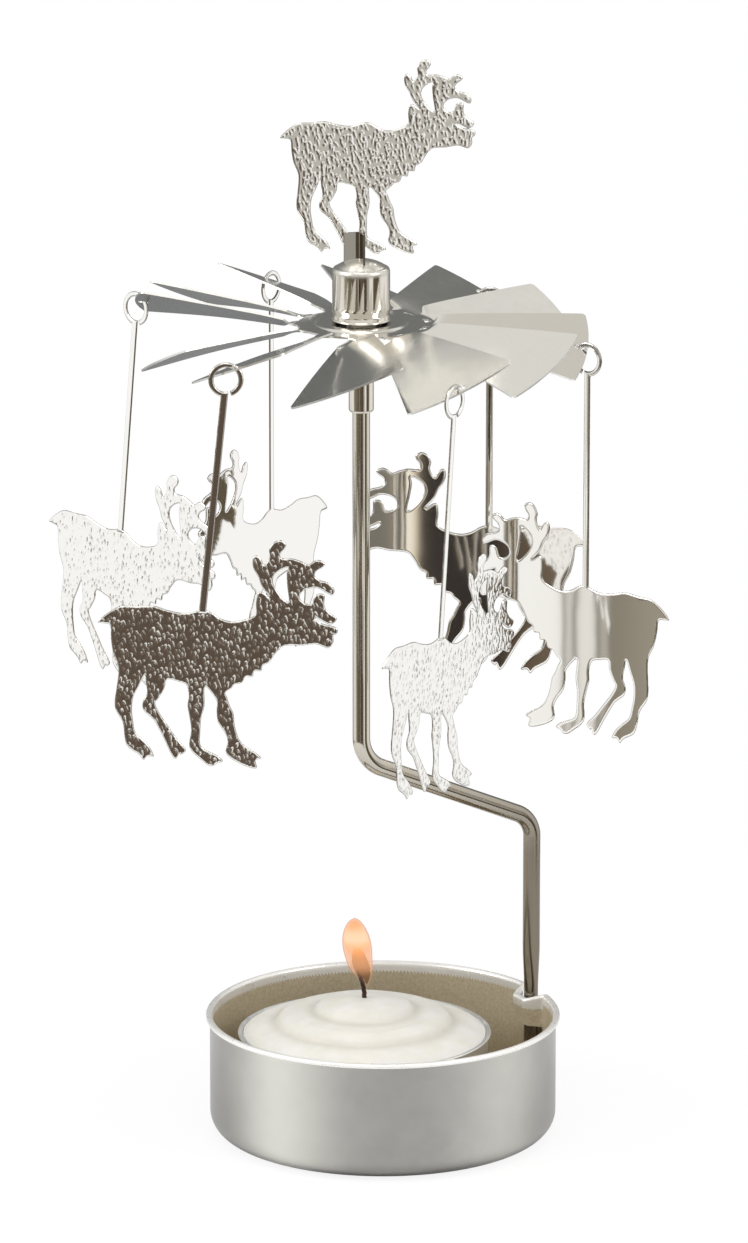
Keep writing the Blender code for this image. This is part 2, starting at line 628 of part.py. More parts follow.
def make_sleeve(material, collection):
    """Guide tube under the wheel, its flange on top of the sheet, its lower end chamfered."""
    base = WHEEL_HEIGHT - SLEEVE_DROP
    seat = CAP_BASE
    profile = [(SLEEVE_BORE, seat + SLEEVE_WALL), (SLEEVE_FLANGE, seat + SLEEVE_WALL),
               (SLEEVE_FLANGE, seat), (SLEEVE_OUTER, seat),
               (SLEEVE_OUTER, base + SLEEVE_CHAMFER), (SLEEVE_OUTER - SLEEVE_WALL / 2, base),
               (SLEEVE_BORE, base)]
    return turned("guide_sleeve", profile, CAP_STEPS // 2, material, collection)


def make_cap(material, collection, cutters):
    """Drawn cap with a dome, a small round shoulder and a bead round its base."""
    shoulder = CAP_BASE + CAP_HEIGHT
    dome_radius = (CAP_RADIUS ** 2 + CAP_DOME ** 2) / (2 * CAP_DOME)
    outer = []
    flat = CAP_RADIUS - CAP_SHOULDER
    for i in range(DOME_STEPS + 1):
        radius = flat * i / DOME_STEPS
        drop = dome_radius - math.sqrt(dome_radius ** 2 - radius ** 2)
        outer.append((radius, CAP_TOP - drop))
    corner = (CAP_RADIUS - CAP_SHOULDER, shoulder - CAP_SHOULDER)
    edge_height = outer[-1][1]
    outer += [(corner[0] + CAP_SHOULDER * math.sin(a),
               corner[1] + (edge_height - corner[1]) * math.cos(a))
              for a in (math.pi / 2 * i / 4 for i in (1, 2, 3, 4))]
    bead_centre = (CAP_RADIUS, CAP_BASE + CAP_BEAD)
    outer += arc(bead_centre, CAP_BEAD, math.pi / 2, -math.pi / 2, 5)
    inner_radius = CAP_RADIUS - CAP_WALL
    inner = [(inner_radius, CAP_BASE), (inner_radius, CAP_CEILING - CAP_WALL),
             (inner_radius - CAP_WALL, CAP_CEILING), (0, CAP_CEILING)]
    cap = turned("hub_cap", outer + inner, CAP_STEPS, material, collection)
    for width, depth in ((TAB_WIDTH, DEER_SHEET), (DEER_SHEET, TAB_WIDTH)):
        slot = tab_leg(width, depth, TAB_GAP, CAP_CEILING - OVERRUN, CAP_TOP + OVERRUN)
        tool = add_object("tab_slot", slot, None, cutters)
        tool.rotation_euler.z = TOP_TURN
        hide_cutter(tool)
        cut(cap, tool)
        tool.parent = cap
    return cap


def tab_leg(width, depth, margin, low, high):
    """One leg of the folded tab: it runs back from the corner along the sheet, or out of it."""
    bm = bmesh.new()
    bmesh.ops.create_cube(bm, size=1)
    size = Vector((width + 2 * margin, depth + 2 * margin, high - low))
    bmesh.ops.scale(bm, vec=size, verts=bm.verts)
    offset_x = -width / 2
    offset_y = DEER_SHEET / 2 - depth / 2
    bmesh.ops.translate(bm, vec=(offset_x, offset_y, (high + low) / 2), verts=bm.verts)
    return finish_bmesh(bm, "tab_leg")


def make_pivot_cup(material, collection):
    """Bearing plug in the cap, with the cone that rides on the needle."""
    radius = CAP_RADIUS - CAP_WALL - GAP
    profile = [(0, PIVOT_CUP_TOP), (radius, PIVOT_CUP_TOP), (radius, PIVOT_CUP_BASE),
               (PIVOT_CONE_RADIUS, PIVOT_CUP_BASE), (0, PIVOT_CUP_BASE + PIVOT_CONE_DEPTH)]
    return turned("pivot_cup", profile, CAP_STEPS, material, collection)


def scaled(shares, length):
    return [(x * length, y * length) for x, y in shares]


def body_outline(length, along_back):
    """The animal's outline, with what stands on its back let in at the withers."""
    points = scaled(BACK_SHARES, length) + along_back
    for shares in (NECK_SHARES, EAR_SHARES, ANTLER_SHARES, BROW_SHARES, MUZZLE_SHARES,
                   CHEST_SHARES, FRONT_LEG_SHARES, SECOND_LEG_SHARES, THIRD_LEG_SHARES,
                   BACK_LEG_SHARES):
        points += scaled(shares, length)
    return points


def stem_and_ring():
    """Stem up from the withers, open ring round its top, and down again."""
    middle = DEER_LENGTH * STEM_SHARE
    centre = (middle, HOOK_TO_HOOF - RING_DROP)
    left = middle - STEM_WIDTH / 2
    right = middle + STEM_WIDTH / 2
    base = DEER_LENGTH * NECK_SHARES[0][1]
    outer_angle = math.asin(STEM_WIDTH / 2 / RING_OUTER)
    inner_angle = math.asin(STEM_WIDTH / 2 / RING_INNER)
    down = -math.pi / 2
    free_end = down + RING_OPENING
    outer = arc(centre, RING_OUTER, down - outer_angle, free_end - 2 * math.pi, RING_STEPS)
    inner = arc(centre, RING_INNER, free_end - 2 * math.pi, down + inner_angle, RING_STEPS)
    return [(left, base)] + outer + inner + [(right, base)]


def flat_figure(name, outline, eye, material, collection):
    """A stamped figure: its closed outlines filled and extruded to the sheet's thickness."""
    curve = bpy.data.curves.new(name, "CURVE")
    curve.dimensions = "2D"
    curve.fill_mode = "BOTH"
    curve.extrude = DEER_SHEET / 2
    for points in (outline, eye):
        spline = curve.splines.new("POLY")
        spline.use_cyclic_u = True
        spline.points.add(len(points) - 1)
        for point, place in zip(spline.points, points):
            point.co = (*place, 0, 1)
    guide = add_object("outline", curve, None, collection)
    mesh = evaluated_mesh(guide, name, GAP / 100)
    bpy.data.objects.remove(guide, do_unlink=True)
    mesh.materials.clear()
    mesh.materials.append(material)
    return mesh


def centre_of_area(mesh):
    """Centre of the figure's sheet, from its triangles on one side."""
    mesh.calc_loop_triangles()
    total = 0
    moment = Vector((0, 0, 0))
    for triangle in mesh.loop_triangles:
        corners = [mesh.vertices[i].co for i in triangle.vertices]
        twice = (corners[1] - corners[0]).cross(corners[2] - corners[0])
        area = max(twice.z, 0) / 2
        total += area
        moment += sum(corners, Vector()) / 3 * area
    return moment / total


def make_hanging_mesh(material, collection):
    """The hanging figure in its own plane, hung so that its weight is under the hinge line."""
    outline = body_outline(DEER_LENGTH, stem_and_ring())
    eye = scaled(ANTLER_EYE_SHARES, DEER_LENGTH)
    mesh = flat_figure("hanging_reindeer", outline, eye, material, collection)
    hook = Vector((DEER_LENGTH * STEM_SHARE, HOOK_TO_HOOF, 0))
    mesh.transform(Matrix.Translation(-hook))
    balance = centre_of_area(mesh)
    mesh.transform(Matrix.Rotation(math.atan2(-balance.x, -balance.y), 4, "Z"))
    mesh.transform(Matrix.Rotation(math.pi / 2, 4, "X"))
    return mesh


def hook_frame(number):
    """Hinge point and heading of one hanging figure, from the wheel's centre.

    The hinge line slopes as the vane's sheet does along the figure's own plane."""
    angle = -2 * math.pi * number / DEER_COUNT
    turn = math.radians(DEER_TURNS[number])
    lift = math.radians(VANE_LIFTS[-2 * number])
    out = Vector((math.cos(angle), math.sin(angle), 0))
    ahead = Vector((-math.sin(angle), math.cos(angle), 0))
    heading = ahead * math.cos(turn) - out * math.sin(turn)
    slope = math.tan(VANE_TWIST) * math.cos(turn) / math.cos(lift)
    slope -= math.sin(turn) * math.tan(lift)
    hole = lifting(lift) @ Vector((HOLE_PLACE_RADIUS, 0, 0))
    place = out * hole.x - heading * RING_REACH
    place.z = hole.z - RING_REACH * slope
    return place, heading


def make_hanging_reindeer(number, mesh, rotor, collection):
    """One hanging figure. Its origin is on its hinge line, in the vane's hole."""
    place, heading = hook_frame(number)
    obj = add_object("hanging_reindeer_%d" % (number + 1), mesh, None, collection)
    obj.parent = rotor
    obj.location = place
    obj.rotation_euler = (0, -math.radians(DEER_LEANS[number]), math.atan2(heading.y, heading.x))
    return obj


def make_top_reindeer(material, collection, cutters):
    """Smaller figure whose middle hooves run into a folded tab that stands in the cap."""
    low = CAP_CEILING - TAB_DEPTH
    hoof_level = CAP_TOP + TOP_HOOF_HEIGHT
    outline = body_outline(TOP_LENGTH, [(TOP_LENGTH * STEM_SHARE, TOP_LENGTH * NECK_SHARES[0][1])])
    eye = scaled(ANTLER_EYE_SHARES, TOP_LENGTH)
    mesh = flat_figure("top_reindeer", outline, eye, material, collection)
    mesh.transform(Matrix.Translation((-TOP_LENGTH * TAB_SHARE, 0, 0)))
    mesh.transform(Matrix.Rotation(TOP_LEAN, 4, "Z"))
    mesh.transform(Matrix.Rotation(math.pi / 2, 4, "X"))
    mesh.transform(Matrix.Translation((0, 0, hoof_level)))
    deer = add_object("top_reindeer", mesh, material, collection)
    high = hoof_level + TOP_LENGTH * TAB_TOP_SHARE
    for width, depth in ((TAB_WIDTH, DEER_SHEET), (DEER_SHEET, TAB_WIDTH)):
        leg = add_object("tab_leg", tab_leg(width, depth, 0, low, high), None, cutters)
        hide_cutter(leg)
        cut(deer, leg, "UNION")
    finished = evaluated_mesh(deer, "top_reindeer", GAP / 1000)
    deer.modifiers.clear()
    deer.data = finished
    deer.rotation_euler.z = TOP_TURN
    return deer


def main():
    clear_scene()
    parts = new_collection("candle_carousel")
    cutters = new_collection("cutters")
    cutters.hide_render = True

    satin_nickel = make_material("satin_nickel", (0.47, 0.48, 0.47), 1, 0.34)
    bright_nickel = make_material("bright_nickel", (0.60, 0.58, 0.54), 1, 0.12)
    vane_sheet = make_material("vane_sheet", (0.62, 0.61, 0.58), 1, 0.16)
    stamped_sheet = make_material("stamped_sheet", (0.66, 0.65, 0.62), 1, 0.26)
    needle_steel = make_material("needle_steel", (0.45, 0.45, 0.46), 1, 0.25)
    bearing_brass = make_material("bearing_brass", (0.62, 0.45, 0.18), 1, 0.3)
    aluminium_foil = make_material("aluminium_foil", (0.75, 0.75, 0.74), 1, 0.28)
    white_wax = make_material("white_wax", (0.80, 0.78, 0.70), 0, 0.45)
    burnt_wick = make_material("burnt_wick", (0.03, 0.02, 0.015), 0, 0.9)
    tinned_steel = make_material("tinned_steel", (0.55, 0.55, 0.54), 1, 0.4)

    make_base_cup(satin_nickel, parts)
    make_tube(bright_nickel, parts, cutters)
    make_needle(needle_steel, parts).location = ROTOR_AXIS

    candle = bpy.data.objects.new("candle_place", None)
    parts.objects.link(candle)
    candle.location.x = -CANDLE_OFFSET
    make_candle_cup(aluminium_foil, parts).parent = candle
    make_wax(white_wax, parts).parent = candle
    make_sustainer(tinned_steel, parts).parent = candle
    make_wick(burnt_wick, parts).parent = candle

    rotor = bpy.data.objects.new("rotor_axis", None)
    parts.objects.link(rotor)
    rotor.location = ROTOR_AXIS
    for piece in (make_sleeve(bright_nickel, parts), make_cap(bright_nickel, parts, cutters),
                  make_pivot_cup(bearing_brass, parts),
                  make_top_reindeer(stamped_sheet, parts, cutters)):
        piece.parent = rotor
    wheel = bpy.data.objects.new("wheel_plane", None)
    parts.objects.link(wheel)
    wheel.parent = rotor
    wheel.location.z = WHEEL_HEIGHT
    wheel.rotation_euler.z = FIRST_HOLE_ANGLE
    make_wheel(vane_sheet, parts, cutters).parent = wheel
    figure = make_hanging_mesh(stamped_sheet, parts)
    for number in range(DEER_COUNT):
        make_hanging_reindeer(number, figure, wheel, parts)


main()
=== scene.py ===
"""Looks of the rotary tea-light carousel.

Shapes are worked out in millimetres as whole numpy arrays and become metres where they are
made into a mesh. Their sizes repeat those of the solids that they stand for.
"""

import math
from functools import partial

import bpy
import numpy as np
from mathutils import Matrix, Vector


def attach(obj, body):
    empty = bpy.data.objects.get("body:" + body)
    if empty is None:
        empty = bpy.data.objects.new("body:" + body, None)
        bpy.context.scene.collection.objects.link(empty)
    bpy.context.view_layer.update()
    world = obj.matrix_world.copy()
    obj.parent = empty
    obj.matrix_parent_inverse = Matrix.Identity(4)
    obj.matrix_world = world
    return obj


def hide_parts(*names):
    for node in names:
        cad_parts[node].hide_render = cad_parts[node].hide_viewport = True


METRES = 0.001

# Camera of the photograph
CAMERA_DISTANCE = 1200.0
CAMERA_HEIGHT = 391.56
CAMERA_DOWN = math.radians(14.604)
CAMERA_ASIDE = math.radians(0.0635)
CAMERA_LENS = 242.0
SOCKET_BEARING = math.radians(27)   # the socket lies this far behind the picture's right

# Base cup
CUP_RADIUS = 25.8
CUP_HEIGHT = 18.4
CUP_SHEET = 0.4
CUP_CORNER = 3.2
LIP_RADIUS = 0.3
SOCKET_HALF_WIDTH = 3.7
SOCKET_FLAT_SHARE = 0.38
SLIT_HEIGHT = 13.1
SLIT_GAP = 0.4
POCKET_FLOOR = 4.6
BAND_DEPTH = 2.05
POCKET_DEPTH = 0.85
LIP_DROP = 0.8
POLISHED_BAND = 1.6             # below the lip, inside

# Support tube and needle
TUBE_RADIUS = 1.3
TUBE_X = 25.2
FOOT_HALF_THICKNESS = 0.95
FOOT_HALF_WIDTH = 1.42
FOOT_TOP = 18.5
FOOT_FADE = 7.0
ARM_LOW = 45.3
ARM_HIGH = 57.9
ARM_LOW_BEND = 4.2
ARM_HIGH_BEND = 5.5
ROTOR_OFFSET = 3.6
TUBE_TOP = 125.1

# Tea light
CANDLE_OFFSET = 3.1
CANDLE_RADIUS = 19.0
CANDLE_LIP = 0.4
CANDLE_FLOOR = 0.7
CANDLE_TOP = 15.8
CANDLE_FOIL = 0.3
WAX_RADIUS = 18.2
WAX_FLOOR = 1.3
WAX_EDGE = 15.6
WAX_RISE = 5.4
# The wax's top as shares of its radius and of its rise
WAX_SHARES = (
    (0.0, 1.0), (0.06, 0.998), (0.13, 0.985), (0.26, 0.915), (0.375, 0.82), (0.395, 0.74),
    (0.41, 0.665), (0.43, 0.65), (0.58, 0.60), (0.695, 0.49), (0.71, 0.40), (0.73, 0.325),
    (0.75, 0.315), (0.86, 0.235), (0.945, 0.13), (0.985, 0.05), (1.0, 0.0))
MELT_RINGS = (7.6, 13.2)        # radii of the steps that melting left
WICK_RADIUS = 0.5
WICK_HEIGHT = 4.4
WICK_LEAN = 1.1
WICK_BASE = 1.3

# Vane wheel
WHEEL_HEIGHT = 124.4
WHEEL_SHEET = 0.3
WHEEL_RADIUS = 33.5
DISC_RADIUS = 9.4
EMBOSS_RADIUS = 6.9
EMBOSS_SLOPE = 0.4
EMBOSS_RISE = 0.3
GROOVE_RADIUS = 5.2             # two fine turned grooves round the cap's base
GROOVE_PITCH = 0.5
GROOVE_DEPTH = 0.02
VANE_COUNT = 12
VANE_TWIST = math.radians(21)
VANE_TWIST_LENGTH = 2.2
VANE_SLIT = 0.35
VANE_SHOULDER = 2.1
VANE_CORNER = 0.6
VANE_LIFTS = (8, -6, -1.5, -6, -8, -6, -8, -5, -3, -3.5, 1.5, 2.5)     # degrees up from level
NECK_SHARE = 0.5
VANE_BOW = 0.25                 # how far a vane bows up between its ends
HOLE_RADIUS = 0.8
HOLE_MARGIN = 1.2
FIRST_HOLE_ANGLE = math.radians(149.5)
DISC_HOLE = 2.15

# Hub
SLEEVE_BORE = 1.6
SLEEVE_OUTER = 1.85
SLEEVE_BASE = 111.3
SLEEVE_FLANGE = 3.0
CAP_BASE = 125.15
CAP_RADIUS = 4.25
CAP_WALL = 0.35
CAP_HEIGHT = 6.9
CAP_DOME = 2.2
CAP_SHOULDER = 0.4
CAP_BEAD = 0.16
CAP_CROWN = 1.5                 # height of the pressed dome above its crisp shoulder
CAP_TOP = CAP_BASE + CAP_HEIGHT + CAP_DOME
CAP_CEILING = CAP_BASE + CAP_HEIGHT - CAP_WALL

# Reindeer
DEER_LENGTH = 35.0
DEER_SHEET = 0.3
DEER_COUNT = 6
STEM_WIDTH = 1.05
STEM_SHARE = 0.415
STEM_BASE_SHARE = 0.62          # the stem starts inside the body
BACK_SHARE = 0.655              # at the animal's back the hair gives way to the smooth stem
HOOK_TO_HOOF = 58.6
RING_INNER = 1.8
RING_OUTER = 2.55
RING_DROP = 1.1
RING_REACH = 1.45
RING_OPENING = math.radians(24)
DEER_LEAN = math.radians(-2.923)    # puts the figure's weight under its hinge line
DEER_TURNS = (50, 30, 30, 57, 30, 40)
DEER_LEANS = (-3, 3, 3, 3, -3, -3)     # degrees off plumb in the figure's own plane
TOP_LENGTH = 29.4
TOP_TURN = math.radians(-13)
TOP_LEAN = math.radians(-3.5)   # forwards, about the tab's corner at the hooves
TOP_HOOF_HEIGHT = 0.8
TAB_WIDTH = 2.6
TAB_SHARE = 0.435
TAB_DEPTH = 1.1
TAB_TOP_SHARE = 0.11

# Outline of the reindeer in thousandths of its length, clockwise from the tail
OUTLINE = (
    (-15, 582), (23, 622), (73, 654), (141, 659), (212, 666), (276, 651), (345, 645), (415, 664),
    (455, 655), (491, 634), (539, 624), (594, 636), (636, 661), (633, 709), (638, 753), (657, 757),
    (690, 736), (652, 778), (634, 816), (609, 853), (601, 891), (612, 912), (635, 900), (652, 874),
    (670, 910), (665, 940), (680, 971), (707, 984), (733, 970), (728, 947), (713, 927), (722, 908),
    (766, 910), (806, 900), (834, 890), (856, 906), (877, 912), (903, 900), (894, 881), (871, 864),
    (866, 843), (888, 827), (928, 817), (953, 791), (948, 766), (922, 774), (882, 792), (842, 786),
    (819, 770), (812, 747), (833, 725), (862, 724), (875, 757), (891, 769), (915, 763), (918, 720),
    (942, 691), (974, 673), (971, 654), (952, 641), (927, 648), (884, 668), (912, 644), (976, 631),
    (985, 608), (969, 592), (972, 566), (952, 539), (900, 553), (844, 543), (769, 536), (735, 498),
    (715, 462), (688, 446), (684, 421), (655, 419), (650, 393), (622, 394), (610, 366), (580, 356),
    (567, 338), (544, 318), (553, 299), (570, 261), (587, 231), (598, 178), (620, 125), (649, 96),
    (689, 74), (722, 49), (699, 37), (708, 6), (684, 3), (636, 18), (587, 43), (570, 69), (575, 108),
    (559, 146), (526, 190), (515, 243), (514, 274), (489, 311), (456, 335), (463, 257), (455, 203),
    (456, 149), (462, 88), (491, 66), (540, 45), (563, 23), (541, 14), (526, 0), (502, 2), (477, 19),
    (419, 71), (418, 147), (406, 201), (392, 254), (394, 292), (380, 338), (344, 351), (296, 357),
    (290, 318), (268, 271), (257, 252), (279, 211), (320, 159), (362, 107), (404, 62), (385, 38),
    (380, 46), (366, 19), (345, 37), (307, 104), (264, 172), (240, 194), (211, 219), (205, 253),
    (219, 292), (210, 338), (202, 372), (183, 322), (165, 275), (163, 221), (173, 168), (187, 122),
    (228, 86), (257, 56), (274, 22), (247, 23), (232, 5), (211, 27), (162, 56), (144, 98), (131, 158),
    (96, 211), (88, 256), (91, 318), (90, 394), (62, 455), (47, 515), (39, 569), (9, 577))
ANTLER_EYE = (
    (751, 871), (720, 858), (697, 834), (695, 803), (716, 766), (749, 733), (769, 728), (756, 790),
    (748, 844))
FIGURE_CELL = (0.1, 0.14)       # grid over the stamped figures, across and up
STAMP_DEPTH = 0.075             # height of the stamped hair
HAIR_PITCH = 0.62               # from lock to lock, across and along
HAIR_ROW = 1.0
HAIR_WIDTH = 0.42
HAIR_LENGTH = 1.15
HAIR_SLANT = math.radians(18)
FRONT_ROLL = 0.12               # radius of the stamped side's edge
BACK_ROLL = 0.36                # width of the smooth side's rolled edge, and how deep it goes
BACK_ROLL_DEPTH = 0.1
FIGURE_BOW = 0.004              # how fast the figure's back turns along it, in radians for 1 mm

# What the upright metal mirrors near the horizon, in five windows: degrees right of the camera's
# side, and colour. The narrow ones are what the backs of two figures show.
LOW_STUDIO = (
    ((-180, "#7C7D7C"), (-158, "#858685"), (-146, "#9C9E9E"), (-130, "#CFD0CE"), (-118, "#FFFFFF"),
     (-82, "#FFFFFF")),
    ((-82, "#FFFFFF"), (-72.4, "#F8F7F4"), (-72.15, "#8F8B84"), (-71.95, "#8F8B84"),
     (-71.75, "#DDDAD4"), (-71.35, "#DDDAD4"), (-71.2, "#6E6A63"), (-70.95, "#7A766F"),
     (-70.75, "#E9E7E2"), (-69.4, "#EFEDE9"), (-69.2, "#6F6B63"), (-68.95, "#77726A"),
     (-68.75, "#BDB8AE"), (-68.1, "#B0AA9F"), (-67.95, "#6D6860"), (-67.7, "#8A8476"),
     (-65.5, "#958E80"), (-62, "#A39C8F")),
    ((-62, "#A39C8F"), (-56, "#857C6C"), (-36, "#6E6556"), (-20, "#6A6356"), (-16, "#77736B")),
    ((-16, "#77736B"), (-12.2, "#7B776D"), (-12.0, "#C2B294"), (-11.75, "#DCCDB2"),
     (-11.6, "#B5A17C"), (-11.45, "#F2E7D2"), (-11.0, "#FFF9EE"), (-10.5, "#EBDDC2"),
     (-10.3, "#8A7A64"), (-10.1, "#3A3532"), (-4.5, "#35302D"), (-3.0, "#574C41"), (0, "#6E6050"),
     (4.5, "#6B5C4E"), (8, "#5A4D43"), (20, "#584B41"), (24, "#A29D95")),
    ((24, "#A29D95"), (26, "#BEBBB4"), (31, "#BBB8B1"), (34, "#F4F2EE"), (37, "#FFFFFF"),
     (47, "#FFFFFF"), (50, "#645B4B"), (74, "#5D5444"), (79, "#E4DFD4"), (88, "#FFFFFF"),
     (121, "#FFFFFF"), (134, "#C6C5C1"), (150, "#929290"), (163, "#848584"), (180, "#7C7D7C")))

# The flame from its tip down: height, half its width, and how far it stands to the picture's right
FLAME_LINE = (
    (33.45, 0.0, -1.4), (33.04, 0.8, -1.46), (32.15, 1.45, -1.43), (31.0, 1.93, -1.31),
    (29.92, 2.15, -1.2), (28.68, 2.2, -1.05), (27.42, 2.07, -0.87), (26.18, 1.9, -0.64),
    (25.29, 1.7, -0.42), (24.58, 1.45, -0.2), (23.86, 1.05, 0.12), (23.05, 0.6, 0.3),
    (22.26, 0.2, 0.34), (22.1, 0.0, 0.34))
FLAME_BELLY = 28.6
# Tip of the brown cone inside it, and the height in which the cone comes to that tip
CONE_TIP = 29.0
CONE_SLOPE = 3.6
# Colours inside the flame by height in millimetres
FLAME_TONES = (
    (23.2, "#7E5A34"), (24.7, "#7C5528"), (25.6, "#7C5018"), (26.6, "#8C5610"), (27.5, "#B86A0C"),
    (28.4, "#F28A14"), (29.4, "#FFC080"), (30.3, "#FFE8CC"), (31.2, "#FFDDB6"), (32.2, "#F2A868"),
    (33.2, "#D8803A"))
# Its shells, with the cone last: name, share of the flame's width, own colour and how much it
# counts against the tone, cover, and the heights between which the cover comes up from the foot
FLAME_SHELLS = (
    ("flame_edge", 1.0, "#B4601C", 1.0, 0.42, 24.0, 26.6),
    ("flame_rim", 0.95, "#F6E2C6", 0.95, 0.33, 24.4, 27.0),
    ("flame_skin", 0.85, "#FFEAD0", 0.1, 0.6, 27.6, 30.2),
    ("flame_middle", 0.7, "#FFEAD0", 0.0, 0.6, 28.0, 30.6),
    ("flame_cone", 0.76, "#FFB060", 0.0, 0.94, 24.9, 26.9))


# Shared helpers

def linear(code):
    """sRGB hex code to a linear colour: c / 12.92 up to 0.04045, else ((c + 0.055) / 1.055)^2.4."""
    values = np.array([int(code[i:i + 2], 16) for i in (1, 3, 5)]) / 255
    painted_light = ((values + 0.055) / 1.055) ** 2.4
    return (*np.where(values <= 0.04045, values / 12.92, painted_light).tolist(), 1.0)


def put(node, sockets):
    """Give each socket its value, or a link where it is given an output."""
    for key, value in sockets.items():
        if isinstance(value, bpy.types.NodeSocket):
            node.id_data.links.new(value, node.inputs[key])
        else:
            node.inputs[key].default_value = value


def add_node(tree, kind, sockets, stops=(), **settings):
    """One node with its settings and sockets, given back as its outputs.

    A colour ramp's stops are pairs of a place from 0 to 1 and a colour code."""
    node = tree.nodes.new("ShaderNode" + kind)
    for key, value in settings.items():
        setattr(node, key, value)
    put(node, sockets)
    for number, (place, code) in enumerate(stops):
        elements = node.color_ramp.elements
        last = number == len(stops) - 1
        element = elements[0] if number == 0 else elements[-1] if last else elements.new(place)
        element.position, element.color = place, linear(code)
    return node.outputs


def surface(name, **constants):
    """A new material, what adds a node to it, and its Principled shader with constant sockets."""
    material = bpy.data.materials.new(name)
    material.use_nodes = True
    shader = material.node_tree.nodes["Principled BSDF"]
    put(shader, {key.replace("_", " "): value for key, value in constants.items()})
    return material, partial(add_node, material.node_tree), shader


def smoothstep(value):
    """3t^2 - 2t^3 between 0 and 1."""
    value = np.clip(value, 0, 1)
    return value * value * (3 - 2 * value)


def scatter(first, second=0.0, seed=0.0):
    """Repeatable number from 0 to 1 for each pair: the fraction of a large sine."""
    return np.modf(np.abs(np.sin(first * 127.1 + second * 311.7 + seed * 74.7) * 43758.5453))[0]


def grid_triangles(rows, columns, closed_rows=False):
    """Two triangles for each cell of a grid whose point (i, j) has number i * columns + j."""
    i = np.arange(rows if closed_rows else rows - 1)
    j = np.arange(columns - 1)
    i, j = (a.ravel() for a in np.meshgrid(i, j, indexing="ij"))
    below, right = (i + 1) % rows, j + 1
    a, b = i * columns + j, i * columns + right
    c, d = below * columns + right, below * columns + j
    return np.concatenate([np.stack([a, b, c], 1), np.stack([a, c, d], 1)])


def grid_points(x, y, z):
    """Rows of points from three arrays that are broadcast to one grid."""
    return np.stack(np.broadcast_arrays(x, y, z), 2).reshape(-1, 3)


def turned_about(points, angle):
    """Points turned about Z by an angle."""
    return points @ np.array(Matrix.Rotation(angle, 3, "Z")).T


def rod(points, columns, ends):
    """Rings of points joined to a tube, with a fan to a middle point over each end."""
    first = np.arange(columns - 1)
    last = len(points) - columns + first
    low, high = np.full((2, columns - 1), len(points)) + [[0], [1]]
    fans = [np.stack([first, first + 1, low], 1), np.stack([last + 1, last, high], 1)]
    triangles = np.concatenate([grid_triangles(len(points) // columns, columns), *fans])
    return np.concatenate([points, ends]), triangles


def clip(points, triangles, value):
    """The part of a triangle mesh where value is above 0, cut along the line where it is 0.

    On each cut edge the new point stands at the share value_a / (value_a - value_b)."""
    nudge = np.abs(value[np.abs(value) > 0]).max() * 1e-6 + 1e-9
    value = np.where(np.abs(value) < nudge, nudge, value)
    inside = value[triangles] > 0
    count = inside.sum(1)
    one = triangles[count == 1]
    turn = np.argmax(inside[count == 1], axis=1)
    a, b, c = (one[np.arange(len(one)), (turn + k) % 3] for k in range(3))
    two = triangles[count == 2]
    turn = np.argmin(inside[count == 2], axis=1)
    out, p, q = (two[np.arange(len(two)), (turn + k) % 3] for k in range(3))
    edges = [np.stack(pair) for pair in ((a, b), (a, c), (q, out), (p, out))]
    keys = [edge.min(0).astype(np.int64) * len(points) + edge.max(0) for edge in edges]
    unique, where = np.unique(np.concatenate(keys), return_inverse=True)
    low, high = unique // len(points), unique % len(points)
    share = (value[low] / (value[low] - value[high]))[:, None]
    extra = points[low] + (points[high] - points[low]) * share
    ab, ac, qo, po = np.split(where + len(points), np.cumsum([len(k) for k in keys])[:-1])
    triangles = np.concatenate([triangles[count == 3], np.stack([a, ab, ac], 1),
        np.stack([p, q, qo], 1), np.stack([p, qo, po], 1)])
    used, index = np.unique(triangles, return_inverse=True)
    return np.concatenate([points, extra])[used], index.reshape(-1, 3)


def normals_of(points, triangles):
    """Unit normal at each point: the sum of its triangles' area vectors, made one long."""
    a, b, c = (points[triangles[:, k]] for k in range(3))
    area = np.cross(b - a, c - a)
    total = np.zeros_like(points)
    for k in range(3):
        np.add.at(total, triangles[:, k], area)
    length = np.linalg.norm(total, axis=1, keepdims=True)
    return total / np.maximum(length, 1e-12)


def open_edges(triangles):
    """Directed edges that only one triangle has."""
    edges = np.concatenate([triangles[:, [0, 1]], triangles[:, [1, 2]], triangles[:, [2, 0]]])
    key = edges.min(1).astype(np.int64) * (triangles.max() + 1) + edges.max(1)
    _, first, count = np.unique(key, return_index=True, return_counts=True)
    return edges[first[count == 1]]


def thick(front, back, triangles):
    """Closed sheet from its front and back points: both faces, and a strip along each open edge.

    Returns points, triangles and 0, 1 or 2 for a triangle of the front, the back or the edge."""
    rim = open_edges(triangles)
    count = len(front)
    p, q = rim[:, 0], rim[:, 1]
    strip = np.concatenate([np.stack([p, p + count, q + count], 1), np.stack([p, q + count, q], 1)])
    everything = np.concatenate([triangles, triangles[:, ::-1] + count, strip])
    side = np.repeat([0, 1, 2], [len(triangles), len(triangles), len(strip)])
    return np.concatenate([front, back]), everything, side


def welded(points, triangles, tolerance=1e-4):
    """Merge points at one place and drop the triangles that this flattens.

    Returns points, triangles, which triangles were kept, and the number each point had before."""
    _, first, index = np.unique(np.round(points / tolerance).astype(np.int64), axis=0,
        return_index=True, return_inverse=True)
    merged = index.reshape(-1)[triangles]
    kept = (merged != np.roll(merged, 1, axis=1)).all(1)
    return points[first], merged[kept], kept, first


def add_object(name, data):
    """A new object in the scene."""
    obj = bpy.data.objects.new(name, data)
    bpy.context.scene.collection.objects.link(obj)
    return obj


